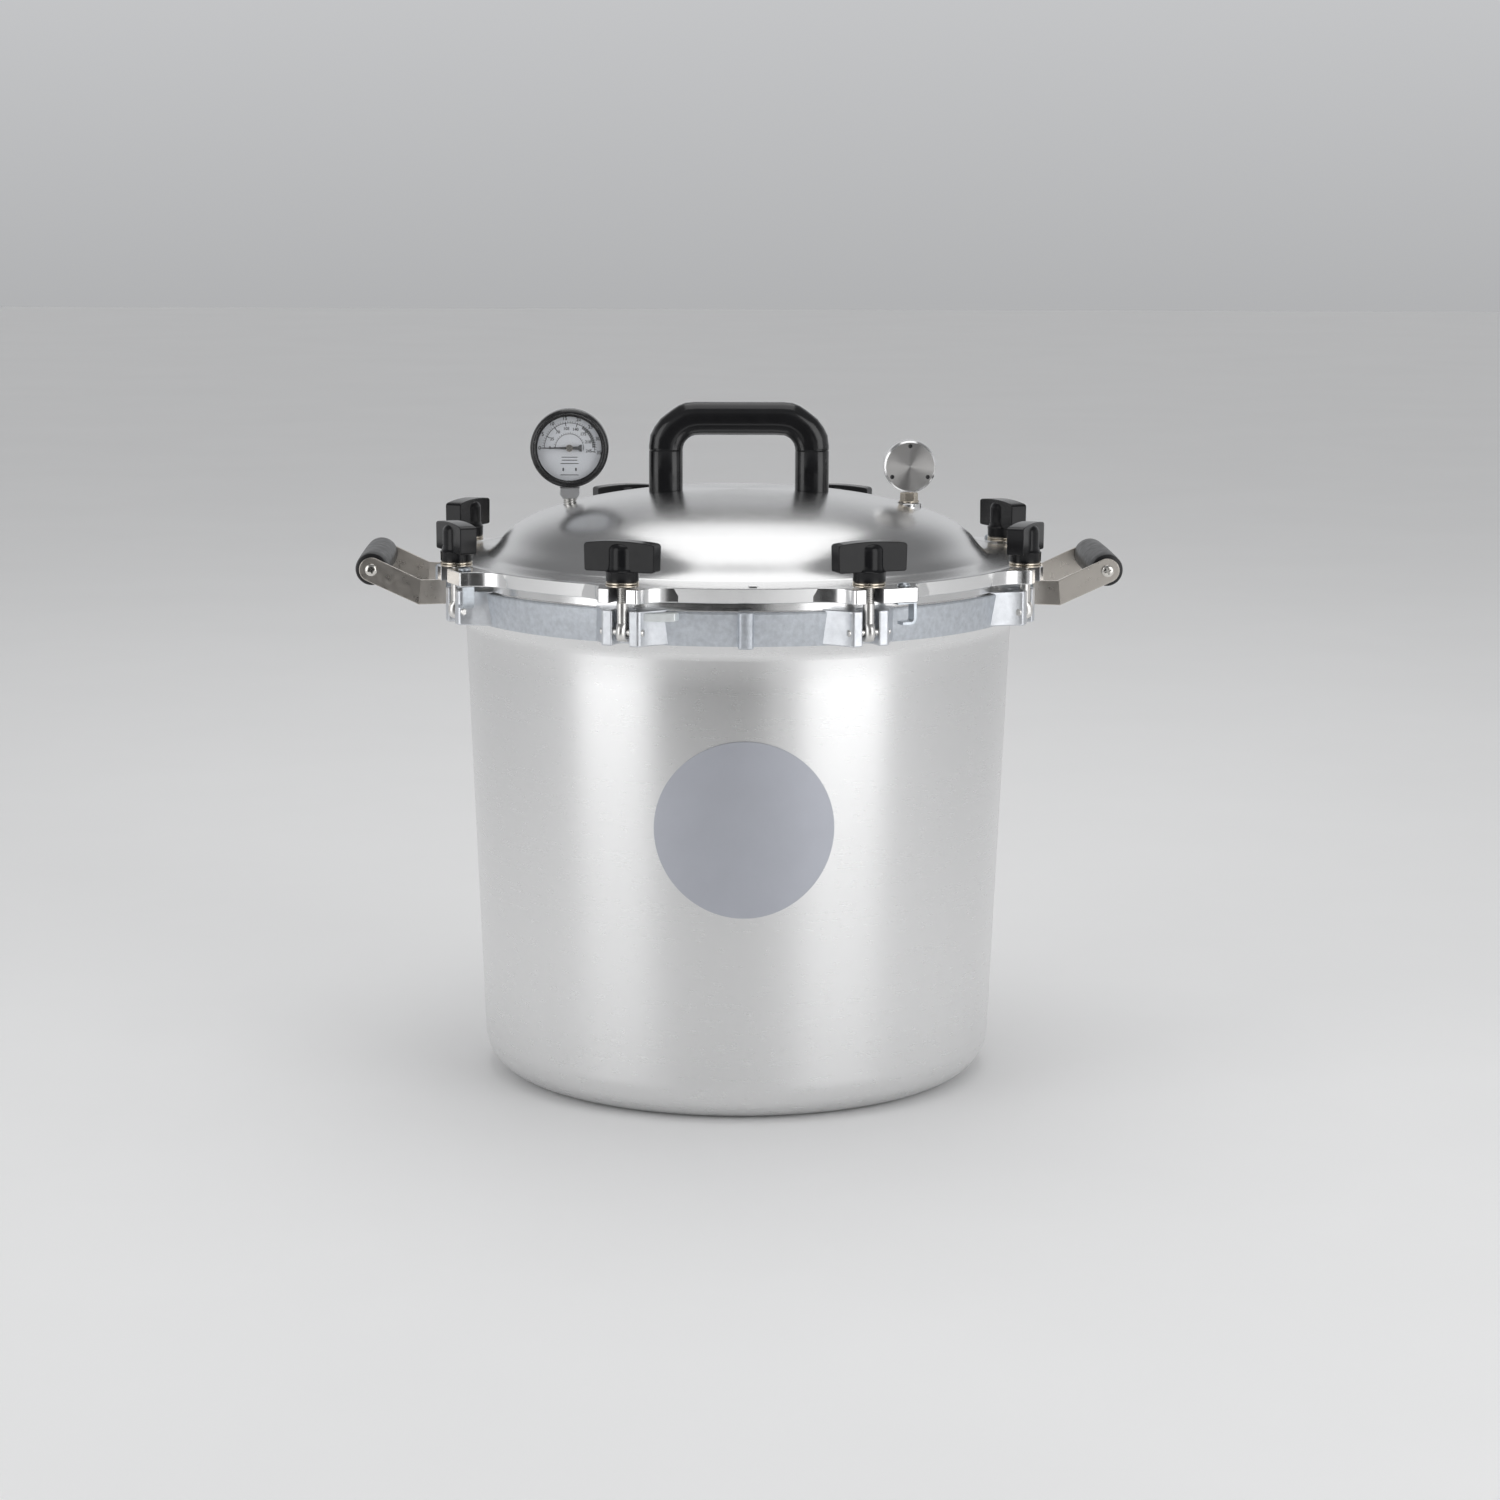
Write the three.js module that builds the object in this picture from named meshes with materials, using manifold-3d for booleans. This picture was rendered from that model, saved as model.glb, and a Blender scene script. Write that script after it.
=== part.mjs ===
// Eight-clamp pressure canner, millimetres, +Z up.
// The origin is the centre of the pot's flat base. The side handles lie along X, and -Y is the front.
// An azimuth is counted from the front (-Y), positive towards +X, which is a turn about +Z.
import * as THREE from "three";
import { mergeVertices } from "three/addons/utils/BufferGeometryUtils.js";
import Module from "manifold-3d";

const wasm = await Module();
wasm.setup();

// ---------------------------------------------------------------- driving dimensions

const ROUND = 48; // facets round the pot and the lid
const GAP = 0.3; // clearance between neighbouring pieces

const BASE_RADIUS = 187.3; // outside of the wall just above the base fillet
const MOUTH_RADIUS = 193.5; // inside of the pot at its mouth
const WALL = 6.5;
const FLOOR = 8;
const BASE_FILLET = 29;
const NECK_Z = 330; // where the tapered wall runs out into the collar
const COLLAR_RADIUS = 207;
const COLLAR_Z = 365; // top of the rough collar
const RIM_RADIUS = 203;
const RIM_Z = 370.9; // machined rim that the lid lands on

const FLANGE_Z = RIM_Z + GAP;
const FLANGE_THICK = 10.3;
const FLANGE_TOP = FLANGE_Z + FLANGE_THICK;
const FLANGE_RADIUS = 209.5;
const LID_WALL = 6;

const CLAMPS = 8;
const BOLT_CIRCLE = 219; // radius of the bolts and of their pins
const PIN_Z = 351;
const SLOT_HALF = 6.25; // half width of the slots in the lugs and in the ears
const LUG_RADIUS = 223;
const LUG_LOW = 341.5;
const LUG_HIGH = 366;
const LEDGE = { front: 220, outer: 213, low: 358.5, high: 364.5, shortReach: 18, longReach: 35 };
const EAR_RADIUS = 228.5;
const EAR_HALF = 15.25;
const HOOKED_EAR_REACH = 34; // the longer prong that carries a hook
const BOLT_RADIUS = 4;
const EYE_RADIUS = 6.3;
const EYE_HALF = 4.3;
const PIN_RADIUS = 2.5;
const NUT_CLEARANCE = 1; // the nuts are slackened by this much

const NUT_RADIUS = 11.5;
const WASHER_THICK = 1.3;
const NUT_Z = FLANGE_TOP + NUT_CLEARANCE + WASHER_THICK + GAP;
const NUT_TOP = NUT_Z + 29.7;
const WING_HALF = 26;
const BOLT_TOP = NUT_TOP - 5.5;

const HANDLE_TOP = 492.8;
const HANDLE_HALF = 65.8;
const HANDLE_BAR = 24; // height of the grip and depth of the whole handle
const HANDLE_INNER_HALF = 41;
const HANDLE_SCREW_X = 53.5;

const STRAP_Y = 55; // middle of a strap's outer arm
const STRAP_WIDTH = 17.5;
const STRAP_THICK = 2.5;
const STRAP_BEND_X = 230.5;
const STRAP_BEND_Z = 359.8;
const ROD_X = 265;
const ROD_Z = 375.9;
const GRIP_RADIUS = 12;

const GAUGE_X = -123.6;
const GAUGE_Z = 459.5;
const GAUGE_RADIUS = 28.5;
const GAUGE_FRONT = -15;
const VENT_X = 124.9;
const WEIGHT_Z = 446.4;
const WEIGHT_RADIUS = 19;
const WEIGHT_HALF = 8;
const PLUG_Y = 130;
const SEAT_Z = { vent: 419.3, plug: 417.6 }; // flat seats spot-faced on the dome

const LABEL_RADIUS = 62.5;
const LABEL_Z = 212;
const RACK_RADIUS = 174;

// ---------------------------------------------------------------- materials

const metal = (color, roughness) => new THREE.MeshStandardMaterial({ color, roughness, metalness: 1 });
const plain = (color, roughness) => new THREE.MeshStandardMaterial({ color, roughness, metalness: 0 });
const MATERIAL = {
  aluminium: metal(0xc9cbcd, 0.35),
  polished: metal(0xd8d9da, 0.2),
  stainless: metal(0xb4aea6, 0.32),
  steel: metal(0xa8a8a6, 0.4),
  zinc: metal(0x9fb0b8, 0.4),
  brass: metal(0xb89a70, 0.35),
  phenolic: plain(0x17171a, 0.25),
  rubber: plain(0x1c1c1c, 0.7),
  dial: plain(0xeceeee, 0.6),
  label: plain(0x9a9ea6, 0.45),
  glass: new THREE.MeshStandardMaterial({
    color: 0xdfe6ea, roughness: 0.05, transparent: true, opacity: 0.3,
  }),
};

// ---------------------------------------------------------------- solids

// A closed geometry as a manifold-3d solid.
function solid(geometry) {
  const g = geometry.clone();
  g.deleteAttribute("normal");
  g.deleteAttribute("uv");
  const merged = mergeVertices(g, 1e-4);
  const triangles = [];
  for (let i = 0; i < merged.index.count; i += 3) {
    const [a, b, c] = [0, 1, 2].map((k) => merged.index.getX(i + k));
    if (a !== b && b !== c && c !== a) triangles.push(a, b, c);
  }
  return new wasm.Manifold(
    new wasm.Mesh({
      numProp: 3,
      vertProperties: merged.attributes.position.array,
      triVerts: new Uint32Array(triangles),
    }),
  );
}

function geometryOf(made) {
  const mesh = made.getMesh();
  const g = new THREE.BufferGeometry();
  g.setAttribute("position", new THREE.BufferAttribute(mesh.vertProperties, 3));
  g.setIndex(new THREE.BufferAttribute(mesh.triVerts, 1));
  return g;
}

// A closed outline of [radius, z] turned about Z.
function revolved(outline, segments = ROUND) {
  const area = outline.reduce((sum, [r, z], i) => {
    const [r2, z2] = outline[(i + 1) % outline.length];
    return sum + r * z2 - r2 * z;
  }, 0);
  const ring = area > 0 ? outline : [...outline].reverse();
  const points = [...ring, ring[0]].map(([r, z]) => new THREE.Vector2(r, z));
  return solid(new THREE.LatheGeometry(points, segments).rotateX(Math.PI / 2));
}

const rod = (radius, z0, z1, segments = 12) =>
  revolved([[0, z0], [radius, z0], [radius, z1], [0, z1]], segments);

const ring = (inner, outer, z0, z1, segments = ROUND) =>
  revolved([[inner, z0], [outer, z0], [outer, z1], [inner, z1]], segments);

// A THREE.Shape drawn in X and Y, raised from z0 to z1.
function raised(shape, z0, z1, curveSegments = 4) {
  const g = new THREE.ExtrudeGeometry(shape, { depth: z1 - z0, bevelEnabled: false, curveSegments });
  return solid(g.translate(0, 0, z0));
}

function block(x0, x1, y0, y1, z0, z1) {
  const g = new THREE.BoxGeometry(x1 - x0, y1 - y0, z1 - z0);
  return solid(g.translate((x0 + x1) / 2, (y0 + y1) / 2, (z0 + z1) / 2));
}

const polygon = (points) => new THREE.Shape(points.map(([x, y]) => new THREE.Vector2(x, y)));
const turned = (made, degrees) => made.rotate([0, 0, degrees]);
const alongX = (made) => made.rotate([0, 90, 0]);
const alongY = (made) => made.rotate([-90, 0, 0]);
const join = (first, ...others) => others.reduce((sum, other) => sum.add(other), first);
const cut = (first, ...others) => others.reduce((sum, other) => sum.subtract(other), first);

// Points of an arc about [r, z], from one angle to another in degrees.
function arc(r, z, radius, from, to, steps) {
  return Array.from({ length: steps + 1 }, (_, i) => {
    const angle = THREE.MathUtils.degToRad(from + ((to - from) * i) / steps);
    return [r + radius * Math.cos(angle), z + radius * Math.sin(angle)];
  });
}

const clampAzimuth = (index) => 22.5 + (index * 360) / CLAMPS;
const isHooked = (index) => index % 2 === 0;
const clampIndices = Array.from({ length: CLAMPS }, (_, index) => index);

// ---------------------------------------------------------------- pot

function lug(ledgeReach) {
  const flank = polygon([
    [-28, -200], [-25, -205.5], [-14.6, -LUG_RADIUS + 1.5], [-13, -LUG_RADIUS],
    [13, -LUG_RADIUS], [14.6, -LUG_RADIUS + 1.5], [25, -205.5], [28, -200],
  ]);
  const boss = raised(flank, LUG_LOW, LUG_HIGH);
  const ledge = polygon([
    [0, -200], [0, -LEDGE.front], [12, -LEDGE.front],
    [ledgeReach, -Math.sqrt(LEDGE.outer ** 2 - ledgeReach ** 2)], [ledgeReach, -198],
  ]);
  const slot = block(-SLOT_HALF, SLOT_HALF, -LUG_RADIUS - 2, -210.5, 335, 372);
  const bore = alongX(rod(PIN_RADIUS + GAP, -30, 30, 10)).translate([0, -BOLT_CIRCLE, PIN_Z]);
  return cut(join(boss, raised(ledge, LEDGE.low, LEDGE.high)), slot, bore);
}

function pot() {
  const bottomCentre = BASE_RADIUS - BASE_FILLET;
  const wall = revolved([
    [0, 0],
    ...arc(bottomCentre, BASE_FILLET, BASE_FILLET, -90, 0, 5),
    [199.7, NECK_Z], [201, 336], [203.4, 339.5],
    [COLLAR_RADIUS, COLLAR_Z - 1.5], [COLLAR_RADIUS - 1.5, COLLAR_Z], [RIM_RADIUS, COLLAR_Z + 0.6],
    [RIM_RADIUS, RIM_Z], [MOUTH_RADIUS + 2, RIM_Z], [MOUTH_RADIUS, RIM_Z - 5],
    ...arc(bottomCentre, BASE_FILLET + 1, BASE_FILLET - WALL, 0, -90, 4).slice(0, 4),
    [bottomCentre - 6, FLOOR], [0, FLOOR],
  ]);
  const rib = block(-5.4, 5.4, -211.5, -200, 340, 365.5);
  const lugs = clampIndices.map((i) =>
    turned(lug(isHooked(i) ? LEDGE.shortReach : LEDGE.longReach), clampAzimuth(i)));
  const bosses = [1, -1].flatMap((x) => [1, -1].map((y) => strapPad(x, y)));
  return join(wall, rib, ...lugs, ...bosses);
}

// ---------------------------------------------------------------- side handles

const STRAP_TURN = 9.6; // degrees that a strap's inner tab leans towards the middle

// Moves a piece modelled at +X, +Y into one of the four corners.
function inCorner(made, x, y) {
  let placed = made;
  if (x < 0) placed = placed.mirror([1, 0, 0]);
  if (y < 0) placed = placed.mirror([0, 1, 0]);
  return placed;
}

function strapPad(x, y) {
  const pad = block(-34, -7, -9.5, -STRAP_THICK / 2 - GAP, -8, 8)
    .rotate([0, 0, STRAP_TURN])
    .translate([STRAP_BEND_X, STRAP_Y, STRAP_BEND_Z]);
  return inCorner(pad, x, y);
}

function strap(x, y) {
  const half = STRAP_WIDTH / 2;
  const rise = Math.atan2(ROD_Z - STRAP_BEND_Z, ROD_X - STRAP_BEND_X);
  const reach = Math.hypot(ROD_X - STRAP_BEND_X, ROD_Z - STRAP_BEND_Z);
  const outline = new THREE.Shape();
  outline.moveTo(-1.5, -half);
  outline.lineTo(reach, -half);
  outline.absarc(reach, 0, half, -Math.PI / 2, Math.PI / 2, false);
  outline.lineTo(-1.5, half);
  outline.closePath();
  const hole = rod(3 + GAP, -5, 5, 12).translate([reach, 0, 0]);
  const arm = cut(raised(outline, -STRAP_THICK / 2, STRAP_THICK / 2, 6), hole)
    .rotate([90, 0, 0])
    .rotate([0, -THREE.MathUtils.radToDeg(rise), 0]);
  const tab = block(-19, 1, -STRAP_THICK / 2, STRAP_THICK / 2, -half, half).rotate([0, 0, STRAP_TURN]);
  return inCorner(join(arm, tab).translate([STRAP_BEND_X, STRAP_Y, STRAP_BEND_Z]), x, y);
}

const GRIP_HALF = STRAP_Y - STRAP_THICK / 2 - 0.6;

function grip(x) {
  const made = revolved([
    [3.4, -GRIP_HALF], [GRIP_RADIUS - 1.5, -GRIP_HALF], [GRIP_RADIUS, -GRIP_HALF + 1.5],
    [GRIP_RADIUS, GRIP_HALF - 1.5], [GRIP_RADIUS - 1.5, GRIP_HALF], [3.4, GRIP_HALF],
  ], 16);
  return alongY(made).translate([x * ROD_X, 0, ROD_Z]);
}

function gripRod(x) {
  const face = STRAP_Y + STRAP_THICK / 2 + GAP;
  const made = revolved([
    [0, -face - 2], [3, -face - 2], [4.5, -face - 1], [4.5, -face], [3, -face],
    [3, face], [4.5, face], [4.5, face + 1], [3, face + 2], [0, face + 2],
  ], 12);
  return alongY(made).translate([x * ROD_X, 0, ROD_Z]);
}

// ---------------------------------------------------------------- lid

// Outside of the dome as [radius, z], from the flange to the crown.
const DOME = [
  [182.5, 383.6], [178, 387.5], [170, 397], [160, 404.6], [145, 411.5], [120, 418.9],
  [85, 425.2], [45, 428.7], [0, 429.6],
];

const HOOK_X = 25;
const HOOK_Y = 221.8; // radius of a hook's rivet, measured square to the ear's outer edge

function ear(hooked) {
  const right = hooked ? HOOKED_EAR_REACH : EAR_HALF;
  const blend = right + 21;
  const foot = (x) => -Math.sqrt((FLANGE_RADIUS - 0.7) ** 2 - x * x);
  const outline = new THREE.Shape();
  outline.moveTo(-EAR_HALF - 21, foot(EAR_HALF + 21));
  outline.quadraticCurveTo(-EAR_HALF - 1.5, -212, -EAR_HALF, -EAR_RADIUS + 2);
  outline.lineTo(-EAR_HALF + 1.5, -EAR_RADIUS);
  outline.lineTo(right - 1.5, -EAR_RADIUS);
  outline.lineTo(right, -EAR_RADIUS + 2);
  outline.quadraticCurveTo(right + 1.5, hooked ? -209 : -212, blend, foot(blend));
  outline.lineTo(20, -200);
  outline.lineTo(-20, -200);
  outline.closePath();
  const plate = raised(outline, FLANGE_Z, FLANGE_TOP, 4);
  const slot = join(
    block(-SLOT_HALF, SLOT_HALF, -EAR_RADIUS - 2, -BOLT_CIRCLE, FLANGE_Z - 1, FLANGE_TOP + 1),
    rod(SLOT_HALF, FLANGE_Z - 1, FLANGE_TOP + 1, 12).translate([0, -BOLT_CIRCLE, 0]),
  );
  // The nut swings out over this edge, so it falls away outside the bolt circle.
  const slope = THREE.MathUtils.radToDeg(Math.atan2(0.8, EAR_RADIUS - BOLT_CIRCLE - 6.8));
  const edge = block(-60, 60, -10, 0, 0, 6)
    .rotate([slope, 0, 0])
    .translate([0, -BOLT_CIRCLE - 6.8, FLANGE_TOP]);
  const rivetHole = rod(2.5 + GAP, FLANGE_Z - 1, FLANGE_TOP + 1, 10).translate([HOOK_X, -HOOK_Y, 0]);
  const finished = cut(plate, slot, edge);
  return hooked ? finished.subtract(rivetHole) : finished;
}

function hook() {
  const half = 4.3;
  const thick = 2.2;
  const leg = HOOKED_EAR_REACH - 1;
  const footZ = 355.4;
  const strip = polygon([
    [18.5, FLANGE_Z - GAP], [18.5, FLANGE_Z - GAP - thick], [leg - thick, FLANGE_Z - GAP - thick],
    [leg - thick, footZ + thick], [19.3, footZ + thick], [19.3, footZ], [leg - 1, footZ],
    [leg, footZ + 1], [leg, FLANGE_Z - GAP],
  ]);
  const bar = raised(strip, -half, half).rotate([90, 0, 0]).translate([0, -HOOK_Y, 0]);
  const rivet = revolved([
    [0, FLANGE_Z - 1], [2.5, FLANGE_Z - 1], [2.5, FLANGE_TOP + GAP], [4.6, FLANGE_TOP + GAP],
    [3.6, FLANGE_TOP + 2.4], [0, FLANGE_TOP + 3],
  ], 10).translate([HOOK_X, -HOOK_Y, 0]);
  return join(bar, rivet);
}

function lid() {
  const inside = DOME.slice(2).map(([r, z]) => [Math.max(0, r - LID_WALL * 0.75), z - LID_WALL * 0.93]);
  const shell = revolved([
    [MOUTH_RADIUS - 2, RIM_Z - 5.5], [MOUTH_RADIUS - 0.6, RIM_Z - 4], [MOUTH_RADIUS - 0.6, FLANGE_Z],
    [FLANGE_RADIUS, FLANGE_Z], [FLANGE_RADIUS, FLANGE_TOP - 0.6], [FLANGE_RADIUS - 0.6, FLANGE_TOP],
    [193, FLANGE_TOP + 0.4], [187, FLANGE_TOP + 1],
    ...DOME, ...inside.reverse(),
    [176, 379], [185, 372], [186, RIM_Z - 5.5],
  ]);
  const seats = [
    [VENT_X, 0, SEAT_Z.vent, 9],
    [0, PLUG_Y, SEAT_Z.plug, 10.5],
  ];
  let made = shell;
  for (const [x, y, z, radius] of seats) {
    made = made.add(rod(radius, z - 5, z, 16).translate([x, y, 0]));
    made = made.subtract(rod(radius, z, z + 12, 16).translate([x, y, 0]));
  }
  const through = (radius, x, y) => rod(radius, 395, 440, 12).translate([x, y, 0]);
  made = cut(
    made,
    through(5.4, GAUGE_X, 0), through(5.2, VENT_X, 0), through(6.6, 0, PLUG_Y),
    through(3.4, HANDLE_SCREW_X, 0), through(3.4, -HANDLE_SCREW_X, 0),
  );
  return join(made, ...clampIndices.map((i) => turned(ear(isHooked(i)), clampAzimuth(i))));
}

// ---------------------------------------------------------------- top handle

function topHandle() {
  const top = HANDLE_TOP;
  const outline = new THREE.Shape();
  const inner = HANDLE_INNER_HALF;
  const under = top - HANDLE_BAR;
  const bevel = 3;
  outline.moveTo(HANDLE_HALF - bevel, 415);
  outline.lineTo(HANDLE_HALF - bevel, top - 26);
  outline.quadraticCurveTo(HANDLE_HALF - bevel, top - 12, HANDLE_HALF - 10, top - 8);
  outline.quadraticCurveTo(HANDLE_HALF - 16, top - bevel, HANDLE_HALF - 26, top - bevel);
  outline.lineTo(-HANDLE_HALF + 26, top - bevel);
  outline.quadraticCurveTo(-HANDLE_HALF + 16, top - bevel, -HANDLE_HALF + 10, top - 8);
  outline.quadraticCurveTo(-HANDLE_HALF + bevel, top - 12, -HANDLE_HALF + bevel, top - 26);
  outline.lineTo(-HANDLE_HALF + bevel, 415);
  outline.lineTo(-inner - bevel, 415);
  outline.lineTo(-inner - bevel, under - 12);
  outline.quadraticCurveTo(-inner - bevel, under + bevel, -inner + 12, under + bevel);
  outline.lineTo(inner - 12, under + bevel);
  outline.quadraticCurveTo(inner + bevel, under + bevel, inner + bevel, under - 12);
  outline.lineTo(inner + bevel, 415);
  outline.closePath();
  const depth = HANDLE_BAR - 2 * bevel;
  const g = new THREE.ExtrudeGeometry(outline, {
    depth, curveSegments: 3, bevelEnabled: true, bevelThickness: bevel, bevelSize: bevel, bevelSegments: 2,
  });
  const bail = solid(g.translate(0, 0, -depth / 2).rotateX(Math.PI / 2));
  const raisedDome = DOME.map(([r, z]) => [r, z + GAP]);
  const below = revolved([[0, 380], [DOME[0][0], 380], ...raisedDome]);
  const bores = [-1, 1].map((side) => rod(3.3, 400, 447, 12).translate([side * HANDLE_SCREW_X, 0, 0]));
  return cut(bail, below, ...bores);
}

function handleScrew(side) {
  const head = 420.6;
  return revolved([
    [0, head - 4], [5.2, head - 4], [6, head - 3], [6, head], [3, head], [3, 445], [0, 445],
  ], 12).translate([side * HANDLE_SCREW_X, 0, 0]);
}

// ---------------------------------------------------------------- clamps

function swingBolt() {
  const shank = rod(BOLT_RADIUS, PIN_Z, BOLT_TOP, 12);
  const eye = alongX(rod(EYE_RADIUS, -EYE_HALF, EYE_HALF, 14)).translate([0, 0, PIN_Z]);
  const bore = alongX(rod(PIN_RADIUS + 0.4, -9, 9, 12)).translate([0, 0, PIN_Z]);
  return cut(join(shank, eye), bore).translate([0, -BOLT_CIRCLE, 0]);
}

const boltPin = () => alongX(rod(PIN_RADIUS, -16, 16, 10)).translate([0, -BOLT_CIRCLE, PIN_Z]);

const nutWasher = () =>
  ring(BOLT_RADIUS + 0.6, NUT_RADIUS, NUT_Z - GAP - WASHER_THICK, NUT_Z - GAP, 12)
    .translate([0, -BOLT_CIRCLE, 0]);

function wingNut() {
  const wingZ = NUT_Z + 8.5;
  const neck = rod(NUT_RADIUS, NUT_Z, NUT_TOP - 1.5, 16);
  const outline = new THREE.Shape();
  outline.moveTo(-WING_HALF + 0.5, wingZ);
  outline.lineTo(WING_HALF - 0.5, wingZ);
  outline.lineTo(WING_HALF, NUT_TOP - 3);
  outline.lineTo(WING_HALF - 2, NUT_TOP - 1.4);
  outline.quadraticCurveTo(0, NUT_TOP + 1.4, -WING_HALF + 2, NUT_TOP - 1.4);
  outline.lineTo(-WING_HALF, NUT_TOP - 3);
  outline.closePath();
  const wings = raised(outline, -6.2, 6.2, 3).rotate([90, 0, 0]);
  const bore = rod(BOLT_RADIUS + 0.4, NUT_Z - 1, BOLT_TOP + 0.8, 12);
  return cut(join(neck, wings), bore).translate([0, -BOLT_CIRCLE, 0]);
}

// ---------------------------------------------------------------- gauge, modelled with its axis on Z

const gaugePlaced = (made) => made.rotate([90, 0, 0]).translate([GAUGE_X, 0, GAUGE_Z]);
const gaugeDepth = (y) => -y; // a place along Y becomes a height before the gauge is stood up

const gaugeCase = () =>
  gaugePlaced(revolved([
    [0, gaugeDepth(12)], [25, gaugeDepth(12)], [27, gaugeDepth(10)], [27, gaugeDepth(-6)],
    [25.4, gaugeDepth(-6)], [25.4, gaugeDepth(10)], [0, gaugeDepth(10)],
  ], 28));

const gaugeBezel = () =>
  gaugePlaced(revolved([
    [27.3, gaugeDepth(0)], [GAUGE_RADIUS, gaugeDepth(0)], [GAUGE_RADIUS, gaugeDepth(-13)],
    [GAUGE_RADIUS - 1.6, gaugeDepth(GAUGE_FRONT)], [24.6, gaugeDepth(GAUGE_FRONT)],
    [23.2, gaugeDepth(-13.2)], [27.3, gaugeDepth(-13.2)],
  ], 28));

const gaugeDial = () => gaugePlaced(ring(1.6, 27, gaugeDepth(-6.3), gaugeDepth(-7.3), 28));
const gaugeLens = () => gaugePlaced(rod(27, gaugeDepth(-11.7), gaugeDepth(-12.9), 28));

function gaugeNeedle() {
  const hub = rod(2.6, gaugeDepth(-8), gaugeDepth(-10.6), 12);
  const spindle = rod(1, gaugeDepth(4), gaugeDepth(-9), 8);
  const pointer = raised(polygon([
    [-21, -0.25], [-21, 0.25], [-3, 1], [7, 1.9], [9, 1.4], [9, -1.4], [7, -1.9], [-3, -1],
  ]), gaugeDepth(-8.6), gaugeDepth(-9.4));
  return gaugePlaced(join(hub, spindle, pointer));
}

function gaugeStem() {
  const under = GAUGE_Z - GAUGE_RADIUS - GAP;
  const socket = block(-7.3, 7.3, -7, 7, 422.5, under);
  return join(socket, rod(5, 408, 423, 12)).translate([GAUGE_X, 0, 0]);
}

// ---------------------------------------------------------------- vent, weight, plug

function ventPipe() {
  const seat = SEAT_Z.vent + GAP;
  const outside = join(
    rod(4.8, 408, seat + 1, 12),
    rod(7.4, seat, seat + 1.6, 16),
    rod(6.6, seat + 1, 427, 6),
    rod(3, 420, 437, 12),
  );
  return outside.subtract(rod(1.5, 400, 440, 8)).translate([VENT_X, 0, 0]);
}

function regulatorWeight() {
  const disc = revolved([
    [0, -WEIGHT_HALF], [WEIGHT_RADIUS - 1, -WEIGHT_HALF], [WEIGHT_RADIUS, -WEIGHT_HALF + 1],
    [WEIGHT_RADIUS, WEIGHT_HALF - 1], [WEIGHT_RADIUS - 1, WEIGHT_HALF], [0, WEIGHT_HALF],
  ], 28);
  const mark = (angle) =>
    turned(rod(1.7, WEIGHT_HALF - 3, WEIGHT_HALF + 1, 8).translate([0, 15, 0]), angle);
  const pipeBore = rod(3.6, -30, -7, 12);
  const faced = cut(disc, mark(0), mark(120), mark(240)).rotate([90, 0, 0]);
  return faced.subtract(pipeBore).translate([VENT_X, 0, WEIGHT_Z]);
}

function overpressurePlug() {
  const seat = SEAT_Z.plug + GAP;
  return revolved([
    [0, 406], [5.4, 406], [6.2, 409], [6.2, seat], [9, seat],
    [9, seat + 1.4], [8, seat + 2.3], [0, seat + 2.3],
  ], 16).translate([0, PLUG_Y, 0]);
}

// ---------------------------------------------------------------- rack and label

function rack() {
  const deck = 20;
  const plate = join(rod(RACK_RADIUS, deck, deck + 2, 32), ring(147, 150, FLOOR + GAP, deck + 1, 24));
  const hole = rod(11, deck - 1, deck + 3, 8);
  const circle = (count, radius) =>
    Array.from({ length: count }, (_, i) => turned(hole.translate([0, radius, 0]), (i * 360) / count));
  return cut(plate, ...circle(6, 60), ...circle(8, 125));
}

function label() {
  const outer = (z) => BASE_RADIUS + ((z - BASE_FILLET) * (199.7 - BASE_RADIUS)) / (NECK_Z - BASE_FILLET);
  const [low, high] = [LABEL_Z - LABEL_RADIUS - 5, LABEL_Z + LABEL_RADIUS + 5];
  const skin = revolved([
    [outer(low) + GAP, low], [outer(low) + 2 * GAP, low],
    [outer(high) + 2 * GAP, high], [outer(high) + GAP, high],
  ]);
  const disc = alongY(rod(LABEL_RADIUS, -230, -100, 40)).translate([0, 0, LABEL_Z]);
  return skin.intersect(disc);
}

// ---------------------------------------------------------------- assembly

const canner = new THREE.Group();
canner.name = "pressure_canner";

function add(name, made, material) {
  const mesh = new THREE.Mesh(geometryOf(made), material);
  mesh.geometry.computeVertexNormals();
  mesh.name = name;
  canner.add(mesh);
  return mesh;
}

add("pot_body", pot(), MATERIAL.aluminium);
add("lid", lid(), MATERIAL.aluminium);
add("top_handle", topHandle(), MATERIAL.phenolic);
add("rack", rack(), MATERIAL.aluminium);
add("label", label(), MATERIAL.label);

for (const [name, side] of [["left", -1], ["right", 1]]) {
  add(`top_handle_screw_${name}`, handleScrew(side), MATERIAL.steel);
  add(`side_grip_${name}`, grip(side), MATERIAL.phenolic);
  add(`grip_rod_${name}`, gripRod(side), MATERIAL.stainless);
  add(`strap_${name}_front`, strap(side, -1), MATERIAL.stainless);
  add(`strap_${name}_rear`, strap(side, 1), MATERIAL.stainless);
}

const clampPieces = [
  ["swing_bolt", swingBolt, MATERIAL.steel],
  ["bolt_pin", boltPin, MATERIAL.steel],
  ["nut_washer", nutWasher, MATERIAL.brass],
  ["wing_nut", wingNut, MATERIAL.phenolic],
];
for (const index of clampIndices) {
  const azimuth = THREE.MathUtils.degToRad(clampAzimuth(index));
  for (const [name, make, material] of clampPieces) {
    add(`${name}_${index + 1}`, make(), material).rotation.z = azimuth;
  }
  if (isHooked(index)) add(`lid_hook_${index / 2 + 1}`, hook(), MATERIAL.zinc).rotation.z = azimuth;
}

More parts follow.
